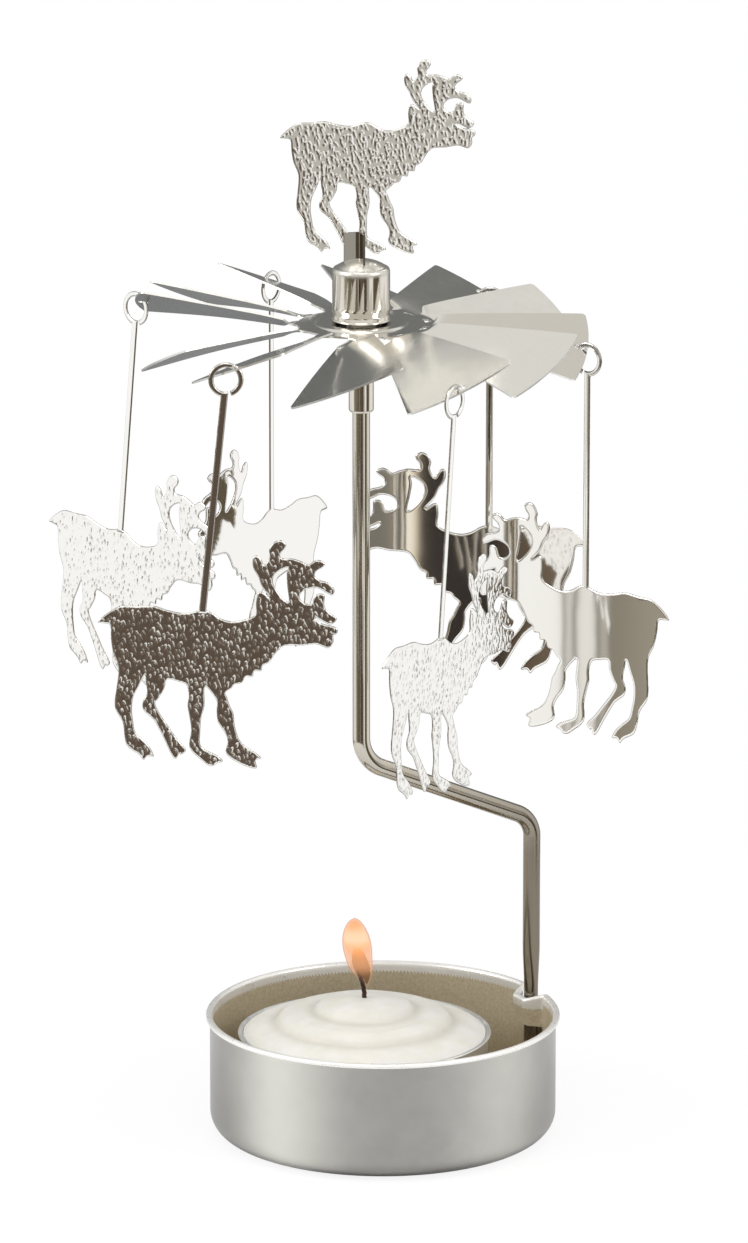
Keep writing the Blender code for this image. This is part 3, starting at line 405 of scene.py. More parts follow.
def piece(name, points, triangles, body, materials, replaces=(), side=None, angle=40, values=None):
    """Mesh object from points in millimetres, riding on its body, with faces outwards."""
    place, faces, kept, first = welded(points, triangles)
    # Six times the volume inside, the sum of a . (b x c), is below 0 where the faces look inwards
    a, b, c = (place[faces[:, k]] for k in range(3))
    if np.einsum("ij,ij->i", a, np.cross(b, c)).sum() < 0:
        faces = faces[:, ::-1]
    mesh = bpy.data.meshes.new(name)
    mesh.vertices.add(len(place))
    mesh.loops.add(faces.size)
    mesh.polygons.add(len(faces))
    mesh.vertices.foreach_set("co", (place * METRES).astype(np.float32).ravel())
    mesh.loops.foreach_set("vertex_index", faces.astype(np.int32).ravel())
    mesh.polygons.foreach_set("loop_start", np.arange(0, faces.size, 3, dtype=np.int32))
    if side is not None:
        mesh.polygons.foreach_set("material_index", side[kept].astype(np.int32))
    mesh.update(calc_edges=True)
    for key, value in (values or {}).items():
        attribute = mesh.attributes.new(key, "FLOAT", "POINT")
        attribute.data.foreach_set("value", value[first].astype(np.float32))
    mesh.shade_smooth()
    mesh.set_sharp_from_angle(angle=math.radians(angle))
    for material in materials:
        mesh.materials.append(material)
    obj = add_object(name, mesh)
    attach(obj, body)
    if replaces:
        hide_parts(*replaces)
    return obj


def arc(centre, radius, start, end, steps):
    """Points on an arc in a profile, both ends included."""
    a = np.linspace(start, end, steps + 1)
    return np.stack([centre[0] + radius * np.cos(a), centre[1] + radius * np.sin(a)], 1)


def between(points, spacing):
    """The same line with points no further apart than the spacing."""
    points = np.asarray(points, float)
    parts = []
    for a, b in zip(points, points[1:]):
        count = max(1, int(math.ceil(np.linalg.norm(b - a) / spacing)))
        parts.append(a + (b - a) * np.linspace(0, 1, count, endpoint=False)[:, None])
    return np.concatenate(parts + [points[-1:]])


def turned(profile, columns, aside, closed=True):
    """Profile of (radius, height) turned about a Z line at x = -aside: (r cos a, r sin a, z)."""
    profile = np.asarray(profile, float)
    angle = np.linspace(0, 2 * math.pi, columns + 1)
    radius = profile[:, :1]
    points = grid_points(radius * np.cos(angle) - aside, radius * np.sin(angle), profile[:, 1:])
    return points, grid_triangles(len(profile), columns + 1, closed_rows=closed)


# Materials

def satin_nickel():
    """Drawn steel with a satin nickel plate: soft wide highlights, two of them painted, fine cloudy
    grain.
    """
    material, add, shader = surface("satin_nickel_drawn_steel", Metallic=1.0)
    place = add("TexCoord", {})["Object"]
    cloud = add("TexNoise", {"Vector": place, "Scale": 260.0, "Detail": 6.0, "Roughness": 0.65})["Fac"]
    # Grain of 0.15 mm, drawn at twice the real size so that it shows
    grain = add("TexNoise", {"Vector": place, "Scale": 3400.0, "Detail": 2.0, "Roughness": 0.6})["Fac"]
    tone = add("MapRange", {"Value": cloud, "From Min": 0.2, "From Max": 0.8, "To Min": -0.09,
        "To Max": 0.09})
    # Painted light: two soft bands of the plate are painted brighter as painted highlight, the rest
    # duller, and the corner at the foot darker as painted shade
    painted_light = add("Attribute", {}, attribute_name="painted_light")["Fac"]
    share = add("Math", {0: painted_light, 1: tone["Result"]})[0]
    rough = add("MapRange", {"Value": cloud, "From Min": 0.3, "From Max": 0.7, "To Min": 0.2,
        "To Max": 0.24})
    put(shader, {"Base Color": add("Mix", {0: share, 6: linear("#9A9895"), 7: linear("#D9D9D2")},
        data_type="RGBA")[2], "Roughness": rough["Result"],
        "Normal": add("Bump", {"Height": grain, "Strength": 0.25, "Distance": 0.00004})["Normal"]})
    return material


def cup_inside():
    """The cup's inside: a dull plate painted warm grey, as a painted reflection of the candle that it
    holds.
    """
    material, add, shader = surface("inside_nickel_painted_reflection", Metallic=0.3, Roughness=0.42)
    place = add("TexCoord", {})["Object"]
    grain = add("TexNoise", {"Vector": place, "Scale": 2600.0, "Detail": 3.0, "Roughness": 0.6})["Fac"]
    tone = add("MapRange", {"Value": grain, "From Min": 0.35, "From Max": 0.65})["Result"]
    put(shader, {"Base Color": add("Mix", {0: tone, 6: linear("#BCAE92"), 7: linear("#CFC3AA")},
        data_type="RGBA")[2],
        "Normal": add("Bump", {"Height": grain, "Strength": 0.2, "Distance": 0.00004})["Normal"]})
    return material


def polished_nickel(name, code, roughness, scratches, other=None, metallic=1.0):
    """Polished nickel plate: near mirror, with hairlines that blur it a little.

    With `other` it changes between two heights in millimetres to another colour and roughness."""
    material, add, shader = surface(name, Metallic=metallic)
    place = add("TexCoord", {})["Object"]
    blotch = add("TexNoise", {"Vector": place, "Scale": 420.0, "Detail": 4.0, "Roughness": 0.6})["Fac"]
    fleck = add("TexNoise", {"Vector": place, "Scale": 2400.0, "Detail": 2.0, "Roughness": 0.5})["Fac"]
    rough = add("MapRange", {"Value": blotch, "From Min": 0.3, "From Max": 0.7,
        "To Min": roughness * 0.8, "To Max": roughness * 1.3})["Result"]
    tone = add("MapRange", {"Value": fleck, "From Min": 0.62, "From Max": 0.72})["Result"]
    base = linear(code)
    duller = (*(c * 0.93 for c in base[:3]), 1.0)
    tint = add("Mix", {0: tone, 6: base, 7: duller}, data_type="RGBA")[2]
    if other:
        first, last, colour, blur = other
        height = add("SeparateXYZ", {0: place})["Z"]
        share = add("MapRange", {"Value": height, "From Min": first * METRES,
            "From Max": last * METRES})["Result"]
        tint = add("Mix", {0: share, 6: tint, 7: linear(colour)}, data_type="RGBA")[2]
        rough = add("Mix", {0: share, 2: rough, 3: blur})[0]
    normal = add("Bump", {"Height": fleck, "Strength": scratches, "Distance": 0.00002})["Normal"]
    put(shader, {"Base Color": tint, "Roughness": rough, "Normal": normal})
    return material


def stamped_face():
    """The stamped side of a figure: bright plate over hair pressed into the sheet.

    The attributes are the hair's height, the painted shadow on each hair's far side, and the rim,
    which is painted darker as painted shade."""
    material, add, shader = surface("stamped_nickel_hair", Metallic=1.0)
    place = add("TexCoord", {})["Object"]
    names = ("stamp", "shade", "rim")
    stamp, shade, rim = (add("Attribute", {}, attribute_name=key)["Fac"] for key in names)
    # Painted shadow along each lock's far side, then painted shade along the rim
    base = add("Mix", {0: shade, 6: linear("#F6F5F1"), 7: linear("#BFB7AA")}, data_type="RGBA")[2]
    base = add("Mix", {0: rim, 6: base, 7: linear("#8A857B")}, data_type="RGBA")[2]
    # The ground stays a mirror and the hair on it is duller
    rough = add("MapRange", {"Value": stamp, "To Min": 0.1, "To Max": 0.24})["Result"]
    # Facets of about 0.2 mm left on the hair by the coined die, which give the glitter
    facet = add("TexVoronoi", {"Vector": place, "Scale": 4600.0})["Distance"]
    height = add("Math", {0: facet, 1: stamp}, operation="MULTIPLY")[0]
    normal = add("Bump", {"Height": height, "Strength": 0.5, "Distance": 0.00004})["Normal"]
    put(shader, {"Base Color": base, "Roughness": rough, "Normal": normal})
    return material


def figure_back():
    """The smooth side of a figure: a mirror that is bowed a little and not quite flat."""
    material, add, shader = surface("polished_nickel_figure_back", Metallic=1.0, Roughness=0.05)
    place = add("TexCoord", {})["Object"]
    rim, bow = (add("Attribute", {}, attribute_name=key)["Fac"] for key in ("rim", "bow"))
    # Painted shade: the plate is painted darker along the rim
    base = add("Mix", {0: rim, 6: linear("#F6F4F0"), 7: linear("#8A857B")}, data_type="RGBA")[2]
    # Hand waves about 8 mm long in the sheet
    wave = add("TexNoise", {"Vector": place, "Scale": 125.0, "Detail": 1.0})["Fac"]
    height = add("Math", {0: wave, 1: 0.012, 2: bow}, operation="MULTIPLY_ADD")[0]
    normal = add("Bump", {"Height": height, "Strength": 1.0, "Distance": METRES})["Normal"]
    put(shader, {"Base Color": base, "Normal": normal})
    return material


def wax_white():
    """Paraffin wax: white, cloudy and let through by light."""
    material, add, shader = surface("paraffin_wax", Roughness=0.42, IOR=1.44, Subsurface_Weight=0.35,
        Subsurface_Scale=0.004, Subsurface_Radius=(1.0, 0.85, 0.6))
    place = add("TexCoord", {})["Object"]
    cloud = add("TexNoise", {"Vector": place, "Scale": 260.0, "Detail": 4.0, "Roughness": 0.6})["Fac"]
    tone = add("MapRange", {"Value": cloud, "From Min": 0.3, "From Max": 0.7})["Result"]
    tint = add("Mix", {0: tone, 6: linear("#E6E3D8"), 7: linear("#F0EEE8")}, data_type="RGBA")[2]
    # Painted shade: the wax is painted greyer in the crease below each melted step
    painted_crease_shade = add("Attribute", {}, attribute_name="painted_crease_shade")["Fac"]
    tint = add("Mix", {0: painted_crease_shade, 6: tint, 7: linear("#C9C4B4")}, data_type="RGBA")[2]
    normal = add("Bump", {"Height": cloud, "Strength": 0.1, "Distance": 0.00008})["Normal"]
    put(shader, {"Base Color": tint, "Normal": normal})
    return material


def wick_char():
    """Cotton wick: braided, brown at the wax and black at its tip."""
    material, add, shader = surface("charred_cotton", Roughness=0.9)
    place = add("TexCoord", {})["Object"]
    height = add("SeparateXYZ", {0: place})["Z"]
    rise = add("MapRange", {"Value": height, "From Min": 0.0212, "From Max": 0.0232})["Result"]
    braid = add("TexNoise", {"Vector": place, "Scale": 5000.0})["Fac"]
    put(shader, {"Base Color": add("Mix", {0: rise, 6: linear("#3E2218"), 7: linear("#1C1210")},
        data_type="RGBA")[2],
        "Normal": add("Bump", {"Height": braid, "Strength": 0.6, "Distance": 0.0001})["Normal"]})
    return material


def flame_shell(name, code, share, cover, low_end, high_end):
    """Burning gas: it gives off its own light and thins out below high_end, in millimetres.

    Its colour is the flame's tone at that height, mixed with the shell's own by its share."""
    material, add, shader = surface(name, Roughness=1.0, Base_Color=(0, 0, 0, 1),
        Specular_IOR_Level=0.0, Emission_Strength=1.5)
    height = add("SeparateXYZ", {0: add("TexCoord", {})["Object"]})["Z"]
    low, high = FLAME_TONES[0][0], FLAME_TONES[-1][0]
    along = add("MapRange", {"Value": height, "From Min": low * METRES,
        "From Max": high * METRES})["Result"]
    tones = add("ValToRGB", {"Fac": along},
        [((z - low) / (high - low), tone) for z, tone in FLAME_TONES])["Color"]
    fade = add("MapRange", {"Value": height, "From Min": low_end * METRES,
        "From Max": high_end * METRES, "To Min": cover * 0.08, "To Max": cover},
        interpolation_type="SMOOTHSTEP")
    put(shader, {"Emission Color": add("Mix", {0: share, 6: tones, 7: linear(code)},
        data_type="RGBA")[2], "Alpha": fade["Result"]})
    return material


# Base cup

def socket_press(y):
    """Share of the socket's full depth at a distance y from its middle line."""
    return smoothstep((1 - np.abs(y) / SOCKET_HALF_WIDTH) / (1 - SOCKET_FLAT_SHARE))


def make_cup(outside, inside, lip):
    """Middle surface of the sheet on an angle by profile grid, pressed at the socket, then thick.

    The band above the slit goes inwards by its depth times the press, and the pocket outwards."""
    half_angle = SOCKET_HALF_WIDTH / CUP_RADIUS
    angle = np.concatenate([np.linspace(-half_angle, half_angle, 49),
        np.linspace(half_angle, 2 * math.pi - half_angle, 289)[1:]])
    floor = CUP_SHEET / 2
    lip_height = CUP_HEIGHT - CUP_SHEET / 2 - LIP_RADIUS
    slit = [SLIT_HEIGHT - SLIT_GAP / 2, SLIT_HEIGHT + SLIT_GAP / 2]
    profile = np.concatenate([between([(0, floor), (CUP_RADIUS - CUP_CORNER, floor)], 4.0)[:-1],
        arc((CUP_RADIUS - CUP_CORNER, floor + CUP_CORNER), CUP_CORNER, -math.pi / 2, 0, 16),
        between([(CUP_RADIUS, floor + CUP_CORNER), (CUP_RADIUS, slit[0])], 0.5)[1:],
        between([(CUP_RADIUS, slit[1]), (CUP_RADIUS, lip_height)], 0.45)[:-1],
        arc((CUP_RADIUS + LIP_RADIUS, lip_height), LIP_RADIUS, math.pi, -math.radians(20), 12)])
    radius, height = profile[:, :1], profile[:, 1:] + 0 * angle
    x, y = radius * np.cos(angle), radius * np.sin(angle)
    near = (x > 0) & (np.abs(y) < SOCKET_HALF_WIDTH) & (radius > CUP_RADIUS - CUP_SHEET)
    press = np.where(near, socket_press(y), 0)
    fade = smoothstep((height - SLIT_HEIGHT) / (CUP_HEIGHT - SLIT_HEIGHT))
    band = press * (height > SLIT_HEIGHT)
    start = floor + CUP_CORNER * 0.9
    pocket = press * (height < SLIT_HEIGHT) * smoothstep((height - start) / (POCKET_FLOOR - start))
    x = x - (BAND_DEPTH + 2 * LIP_RADIUS * fade) * band + POCKET_DEPTH * pocket
    height = height - LIP_DROP * band * fade
    points = grid_points(x, y, height)
    triangles = grid_triangles(len(profile), len(angle))
    middle = points[triangles].mean(1)
    in_slit = (middle[:, 0] > 0) & (np.abs(middle[:, 1]) < SOCKET_HALF_WIDTH)
    in_slit &= np.abs(middle[:, 2] - SLIT_HEIGHT) < SLIT_GAP / 4
    points, triangles, _, _ = welded(points, triangles[~in_slit])
    half = normals_of(points, triangles) * CUP_SHEET / 2
    points, triangles, side = thick(points + half, points - half, triangles)
    # The rolled lip and a band inside it are polished
    place = points[triangles].mean(1)
    high = np.where(np.abs(place[:, 1]) < SOCKET_HALF_WIDTH, CUP_HEIGHT - LIP_DROP, CUP_HEIGHT)
    side = np.where((side == 0) | (place[:, 2] < high - POLISHED_BAND), np.minimum(side, 1), 2)
    # Painted light on the satin plate, b being degrees right of the camera's side: painted highlight
    # of 0.08 + 0.92 times exp(-((b + 37) / 19)^2) + 0.66 exp(-((b - 46) / 19)^2), less 0.3 of painted
    # shade in the corner at the foot
    bearing = np.degrees(np.arctan2(points[:, 1], points[:, 0]) + SOCKET_BEARING) + 90
    bearing = (bearing + 180) % 360 - 180
    painted_light = np.exp(-((bearing + 37) / 19) ** 2) + 0.66 * np.exp(-((bearing - 46) / 19) ** 2)
    painted_light = 0.08 + 0.92 * painted_light - 0.3 * (1 - smoothstep(points[:, 2] / CUP_CORNER))
    piece("cup", points, triangles, "stand", [outside, inside, lip], ["base_cup"],
        side=side, angle=50, values={"painted_light": np.clip(painted_light, 0, 1)})


# Support tube

def rounded_path():
    """Foot, lower upright, arm and upper upright in the XZ plane, with an arc at each corner."""
    foot, low = np.array([TUBE_X, POCKET_FLOOR]), np.array([TUBE_X, ARM_LOW])
    high, top = np.array([-ROTOR_OFFSET, ARM_HIGH]), np.array([-ROTOR_OFFSET, TUBE_TOP])
    path = [between([foot, (TUBE_X, FOOT_TOP + FOOT_FADE)], 0.8)]
    for corner, before, after, radius in ((low, foot, high, ARM_LOW_BEND),
            (high, low, top, ARM_HIGH_BEND)):
        back = (before - corner) / np.linalg.norm(before - corner)
        ahead = (after - corner) / np.linalg.norm(after - corner)
        half = math.acos(back @ ahead) / 2
        middle = (back + ahead) / np.linalg.norm(back + ahead)
        centre = corner + middle * radius / math.sin(half)
        start = corner + back * radius / math.tan(half) - centre
        end = corner + ahead * radius / math.tan(half) - centre
        first, last = math.atan2(start[1], start[0]), math.atan2(end[1], end[0])
        sweep = (last - first + math.pi) % (2 * math.pi) - math.pi
        path.append(arc(centre, radius, first, first + sweep, 24))
    path.append(top[None])
    return np.concatenate(path)


def make_tube(plate):
    """Ellipse carried along the path: half thickness in the bending plane, half width across."""
    path = rounded_path()
    step = np.array([[0, 0.12]])
    path = np.concatenate([path[:1], path[:1] + step, path[1:-1], path[-1:] - step, path[-1:]])
    tangent = np.gradient(path, axis=0)
    tangent /= np.linalg.norm(tangent, axis=1, keepdims=True)
    flat = smoothstep((FOOT_TOP + FOOT_FADE - path[:, 1]) / FOOT_FADE) * (path[:, 0] > TUBE_X - 1)
    thickness = TUBE_RADIUS + (FOOT_HALF_THICKNESS - TUBE_RADIUS) * flat
    width = TUBE_RADIUS + (FOOT_HALF_WIDTH - TUBE_RADIUS) * flat
    cap = np.ones(len(path))
    cap[[0, -1]] = 0.9
    turn = np.linspace(0, 2 * math.pi, 57)
    out = np.cos(turn) * (thickness * cap)[:, None]
    across = np.sin(turn) * (width * cap)[:, None]
    x = path[:, :1] + out * tangent[:, 1:]
    z = path[:, 1:] - out * tangent[:, :1]
    points, triangles = rod(grid_points(x, across, z), len(turn), np.insert(path[[0, -1]], 1, 0, axis=1))
    piece("tube", points, triangles, "stand", [plate], ["support_tube"])


# Tea light

def make_candle(foil, wax, wick):
    """Foil cup and wax, profiles turned about the candle's axis, and the wick, ribbed and bowed."""
    wall_top, wall_base = CANDLE_RADIUS - CANDLE_LIP, CANDLE_RADIUS - 2 * CANDLE_LIP
    inner_top = wall_top - CANDLE_FOIL
    profile = np.concatenate([[(inner_top, CANDLE_TOP - 0.1)],
        arc((CANDLE_RADIUS - 0.2, CANDLE_TOP - 0.2), 0.2, math.pi / 2, -math.pi / 2, 6),
        between([(wall_top, CANDLE_TOP - CANDLE_LIP), (wall_base, CANDLE_FLOOR + 0.8)], 1.5),
        arc((wall_base - 0.8, CANDLE_FLOOR + 0.8), 0.8, 0, -math.pi / 2, 6)[1:],
        between([(wall_base - 1, CANDLE_FLOOR), (0, CANDLE_FLOOR)], 4.0),
        between([(0, CANDLE_FLOOR + CANDLE_FOIL), (wall_base - 1, CANDLE_FLOOR + CANDLE_FOIL)], 4.0),
        arc((wall_base - 0.8, CANDLE_FLOOR + 0.8), 0.8 - CANDLE_FOIL, -math.pi / 2, 0, 6)[1:],
        between([(wall_base - CANDLE_FOIL, CANDLE_FLOOR + 1.0), (inner_top, CANDLE_TOP - 0.3)], 1.5)])
    points, triangles = turned(profile, 192, CANDLE_OFFSET)
    piece("foil_cup", points, triangles, "candle", [foil], ["tealight_cup"])

    radius = np.linspace(0, 1, 130)
    rise = np.interp(radius, *np.transpose(WAX_SHARES))
    kernel = np.array([1, 2, 3, 2, 1]) / 9
    rise = np.convolve(np.pad(rise, 2, mode="edge"), kernel, mode="valid")
    top = np.stack([radius * WAX_RADIUS, WAX_EDGE + WAX_RISE * rise], 1)
    profile = np.concatenate([top, [(WAX_RADIUS - 0.45, WAX_FLOOR + 1), (WAX_RADIUS - 1.5, WAX_FLOOR),
        (0, WAX_FLOOR)]])
    points, triangles = turned(profile, 160, CANDLE_OFFSET, closed=False)
    turn = np.arctan2(points[:, 1], points[:, 0] + CANDLE_OFFSET)
    out = np.hypot(points[:, 0] + CANDLE_OFFSET, points[:, 1])
    wave = 0.05 * np.sin(3 * turn + 1 + out / 3) + 0.035 * np.sin(7 * turn + out / 2)
    wave = wave * smoothstep(out / 6) * smoothstep((WAX_RADIUS - out) / 2)
    points[:, 2] += wave * (points[:, 2] > WAX_EDGE)
    # Painted shade in the crease just outside each melted step
    painted_crease_shade = sum(np.exp(-((out - ring - 0.35) / 0.9) ** 2) for ring in MELT_RINGS)
    painted_crease_shade = 0.42 * painted_crease_shade * (points[:, 2] > WAX_EDGE)
    piece("wax", points, triangles, "candle", [wax], ["candle_wax"], angle=70,
        values={"painted_crease_shade": painted_crease_shade})

    wax_top = WAX_EDGE + WAX_RISE
    share = np.linspace(0, 1, 40)
    line = np.stack([-WICK_LEAN * share ** 2 + 0.12 * np.sin(5 * share) * share, 0 * share,
        wax_top - 0.4 + (WICK_HEIGHT + 0.4) * share], 1)
    line[:, 0] -= CANDLE_OFFSET
    line = np.concatenate([[[-CANDLE_OFFSET, 0, WICK_BASE]], line])
    taper = np.concatenate([[1.0], 1 - 0.3 * share ** 3])
    turn = np.linspace(0, 2 * math.pi, 25)
    row = np.arange(len(line))[:, None]
    rib = 1 + 0.12 * np.sin(3 * turn + row * 0.9)
    size = WICK_RADIUS * 0.68 * taper[:, None] * rib
    points = grid_points(line[:, :1] + size * np.cos(turn), line[:, 1:2] + size * np.sin(turn),
        line[:, 2:])
    points, triangles = rod(points, len(turn), line[[0, -1]])
    piece("wick", points, triangles, "candle", [wick], ["candle_wick"], angle=70)


def make_flame():
    """Nested drops: each ring has the half width of the flame's line there, times the shell's share,
    and the shell's heights are h + (z - h) * (1 + share) / 2 about the flame's belly h. The cone's
    radius is also times sqrt((tip - z) / slope), up to 1, and it ends at its tip."""
    line = np.array(FLAME_LINE)
    count = np.linspace(0, len(line) - 1, 66)
    line = np.stack([np.interp(count, np.arange(len(line)), column) for column in line.T], 1)
    for _ in range(4):
        line[1:-1] = (line[:-2] + 2 * line[1:-1] + line[2:]) / 4
    turn = np.linspace(0, 2 * math.pi, 49)
    for name, share, *look in FLAME_SHELLS:
        height = FLAME_BELLY + (line[:, 0] - FLAME_BELLY) * (1 + share) / 2
        radius, aside = line[:, 1] * share, line[:, 2]
        if name == "flame_cone":
            height = np.minimum(height, CONE_TIP)
            radius = radius * np.sqrt(np.clip((CONE_TIP - height) / CONE_SLOPE, 0, 1))
        x = -CANDLE_OFFSET + aside * math.cos(SOCKET_BEARING)
        y = -aside * math.sin(SOCKET_BEARING)
        points = grid_points(x[:, None] + radius[:, None] * np.cos(turn),
            y[:, None] + radius[:, None] * np.sin(turn), height[:, None])
        obj = piece(name, points, grid_triangles(len(line), 49), "candle",
            [flame_shell(name + "_glow", *look)], angle=180)
        obj.visible_shadow = False
        obj.visible_diffuse = False


# Vane wheel

def vane_grid():
    """Blank of one vane as (across, along) shares mapped to the twisted blade.

    A row at radius r is r tan(15 degrees) - slit / 2 wide each side, narrowed to the neck, and is
    turned about the vane's own middle line by the twist, which eases in past the disc's rim.
    Returns the flat places, the blade's points with how far each is past that rim, and triangles."""
    length = WHEEL_RADIUS - DISC_RADIUS
    share = np.linspace(-1, 1, 37)
    across = share * (0.5 + 0.5 * share ** 2)
    past = np.concatenate([np.linspace(0, VANE_SHOULDER, 15),
        np.linspace(VANE_SHOULDER, length - 2 * VANE_CORNER, 26)[1:],
        length - 2 * VANE_CORNER * (1 - np.sin(np.linspace(0, math.pi / 2, 17)))[1:]])
    past = past[:, None] + 0 * across
    radius = DISC_RADIUS + past
    half_sector = math.pi / VANE_COUNT
    neck = DISC_RADIUS * math.sin(half_sector * NECK_SHARE)
    wedge = radius * math.tan(half_sector) - VANE_SLIT / 2
    widen = smoothstep((past - VANE_SHOULDER / 2) / (VANE_SHOULDER / 2))
    corner = np.maximum(0, radius - (WHEEL_RADIUS - VANE_CORNER))
    rounding = np.sqrt(np.maximum(VANE_CORNER ** 2 - corner ** 2, 0))
    half = neck + (wedge - neck) * widen - VANE_CORNER + rounding
    y = half * across
    x = radius + (np.sqrt(radius ** 2 - y ** 2) - radius) * smoothstep(past / length)
    rim = past <= 0
    angle = half_sector * NECK_SHARE * across
    x = np.where(rim, DISC_RADIUS * np.cos(angle), x)
    y = np.where(rim, DISC_RADIUS * np.sin(angle), y)
    twist = VANE_TWIST * smoothstep(past / VANE_TWIST_LENGTH)
    ripple = 0.05 * np.sin(past / 4 + y / 5) * smoothstep(past / 5)
    flat = np.stack([x, y], 2).reshape(-1, 2)
    blade = grid_points(x, y * np.cos(twist) - ripple * np.sin(twist),
        y * np.sin(twist) + ripple * np.cos(twist))
    return flat, np.column_stack([blade, past.ravel()]), grid_triangles(len(past), len(share))


def lifted(blade, lift):
    """Bend a vane up by an angle that eases in with the twist, about a line across its middle:
    x' = c + (x - c) cos a - z sin a and z' = (x - c) sin a + z cos a. It bows a little too."""
    line = DISC_RADIUS + VANE_TWIST_LENGTH / 2
    past = blade[:, 3]
    angle = math.radians(lift) * smoothstep(past / VANE_TWIST_LENGTH)
    x = blade[:, 0] - line
    z = blade[:, 2] + VANE_BOW * np.sin(math.pi * np.clip(past / (WHEEL_RADIUS - DISC_RADIUS), 0, 1))
    return np.stack([line + x * np.cos(angle) - z * np.sin(angle), blade[:, 1],
        x * np.sin(angle) + z * np.cos(angle)], 1)


def make_wheel(sheet, under, edge):
    """Disc on a polar grid and twelve turned copies of the vane, with every other one punched."""
    flat, blade, cells = vane_grid()
    hole = np.hypot(flat[:, 0] - (WHEEL_RADIUS - HOLE_MARGIN), flat[:, 1]) - HOLE_RADIUS
    punched, punched_cells = clip(blade, cells, hole)
    all_points, all_triangles, total = [], [], 0
    for vane in range(VANE_COUNT):
        points, triangles = (punched, punched_cells) if vane % 2 == 0 else (blade, cells)
        points = lifted(points, VANE_LIFTS[vane])
        angle = 2 * math.pi * vane / VANE_COUNT
        turn = np.array([[math.cos(angle), math.sin(angle), 0], [-math.sin(angle), math.cos(angle), 0],
            [0, 0, 1]])
        all_points.append(points @ turn)
        all_triangles.append(triangles + total)
        total += len(points)
    half_sector = math.pi / VANE_COUNT
    share = np.linspace(-1, 1, 37)
    neck = half_sector * NECK_SHARE * share * (0.5 + 0.5 * share ** 2)
    gap = np.linspace(half_sector * NECK_SHARE, 2 * half_sector - half_sector * NECK_SHARE, 13)[1:-1]
    one = np.concatenate([neck, gap])
    angle = (one + 2 * half_sector * np.arange(VANE_COUNT)[:, None]).ravel()
    angle = np.append(angle, angle[0] + 2 * math.pi)
    # More rings at the grooves round the cap's base and at the raised circle
    radius = np.concatenate([np.linspace(DISC_HOLE, 4.6, 6),
        np.linspace(4.75, EMBOSS_RADIUS - EMBOSS_SLOPE - 0.2, 9),
        np.linspace(EMBOSS_RADIUS - EMBOSS_SLOPE, EMBOSS_RADIUS, 5),
        np.linspace(EMBOSS_RADIUS + 0.3, DISC_RADIUS, 6)])
    lift = EMBOSS_RISE * (1 - smoothstep((radius - EMBOSS_RADIUS + EMBOSS_SLOPE) / EMBOSS_SLOPE))
    off = radius - GROOVE_RADIUS
    lift = lift + GROOVE_DEPTH * np.cos(2 * math.pi * off / GROOVE_PITCH) * (np.abs(off) < GROOVE_PITCH)
    all_points.append(grid_points(radius[:, None] * np.cos(angle), radius[:, None] * np.sin(angle),
        lift[:, None]))
    all_triangles.append(grid_triangles(len(radius), len(angle)) + total)
    points, triangles, _, _ = welded(np.concatenate(all_points), np.concatenate(all_triangles), 1e-3)
    triangles = triangles[:, ::-1]
    half = normals_of(points, triangles) * WHEEL_SHEET / 2
    points, triangles, side = thick(points + half, points - half, triangles)
    points = turned_about(points, FIRST_HOLE_ANGLE) + [-ROTOR_OFFSET, 0, WHEEL_HEIGHT]
    # The underside's material is painted darker: painted shade
    piece("wheel", points, triangles, "rotor", [sheet, under, edge], ["vane_wheel"],
        side=side, angle=32)


# Hub

def make_hub(plate, brass, steel):
    """Sleeve and cap: profiles turned about the rotor's axis. The bearing, the needle and the wick's
    tin disc keep the shapes of their solids and get their metals here."""
    seat = CAP_BASE
    profile = np.concatenate([between([(SLEEVE_BORE, seat + 0.25), (SLEEVE_FLANGE, seat + 0.25),
        (SLEEVE_FLANGE, seat), (SLEEVE_OUTER, seat), (SLEEVE_OUTER, SLEEVE_BASE + 0.4)], 2.0),
        arc((SLEEVE_OUTER - 0.4, SLEEVE_BASE + 0.4), 0.4, 0, -math.pi / 3, 6)[1:],
        between([(SLEEVE_BORE, SLEEVE_BASE), (SLEEVE_BORE, seat)], 2.0)])
    points, triangles = turned(profile, 96, ROTOR_OFFSET)
    piece("sleeve", points, triangles, "rotor", [plate], ["guide_sleeve"])

    shoulder = CAP_TOP - CAP_CROWN
    dome = (CAP_RADIUS ** 2 + CAP_CROWN ** 2) / (2 * CAP_CROWN)
    out = np.linspace(0, CAP_RADIUS - CAP_SHOULDER, 16)
    crown = np.stack([out, CAP_TOP - dome + np.sqrt(dome ** 2 - out ** 2)], 1)
    drop = crown[-1, 1] - shoulder + CAP_SHOULDER
    a = np.linspace(0, math.pi / 2, 13)[1:]
    edge = np.stack([CAP_RADIUS - CAP_SHOULDER + CAP_SHOULDER * np.sin(a),
        shoulder - CAP_SHOULDER + drop * np.cos(a)], 1)
    inner = CAP_RADIUS - CAP_WALL
    profile = np.concatenate([crown, edge,
        between([(CAP_RADIUS, shoulder - CAP_SHOULDER), (CAP_RADIUS, CAP_BASE + 1.3)], 1.0)[1:],
        [(CAP_RADIUS - 0.09, CAP_BASE + 1.05), (CAP_RADIUS - 0.05, CAP_BASE + 0.75)],
        arc((CAP_RADIUS, CAP_BASE + CAP_BEAD), CAP_BEAD, math.pi / 2, -math.pi / 2, 10),
        between([(inner, CAP_BASE), (inner, CAP_CEILING - CAP_WALL)], 1.5),
        [(inner - CAP_WALL, CAP_CEILING), (0, CAP_CEILING)]])
    points, triangles = turned(profile, 144, ROTOR_OFFSET, closed=False)
    piece("cap", points, triangles, "rotor", [plate], ["hub_cap"])

    for node, material in (("pivot_cup", brass), ("pivot_needle", steel), ("wick_sustainer", steel)):
        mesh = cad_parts[node].data
        mesh.materials.clear()
        mesh.materials.append(material)


# Reindeer

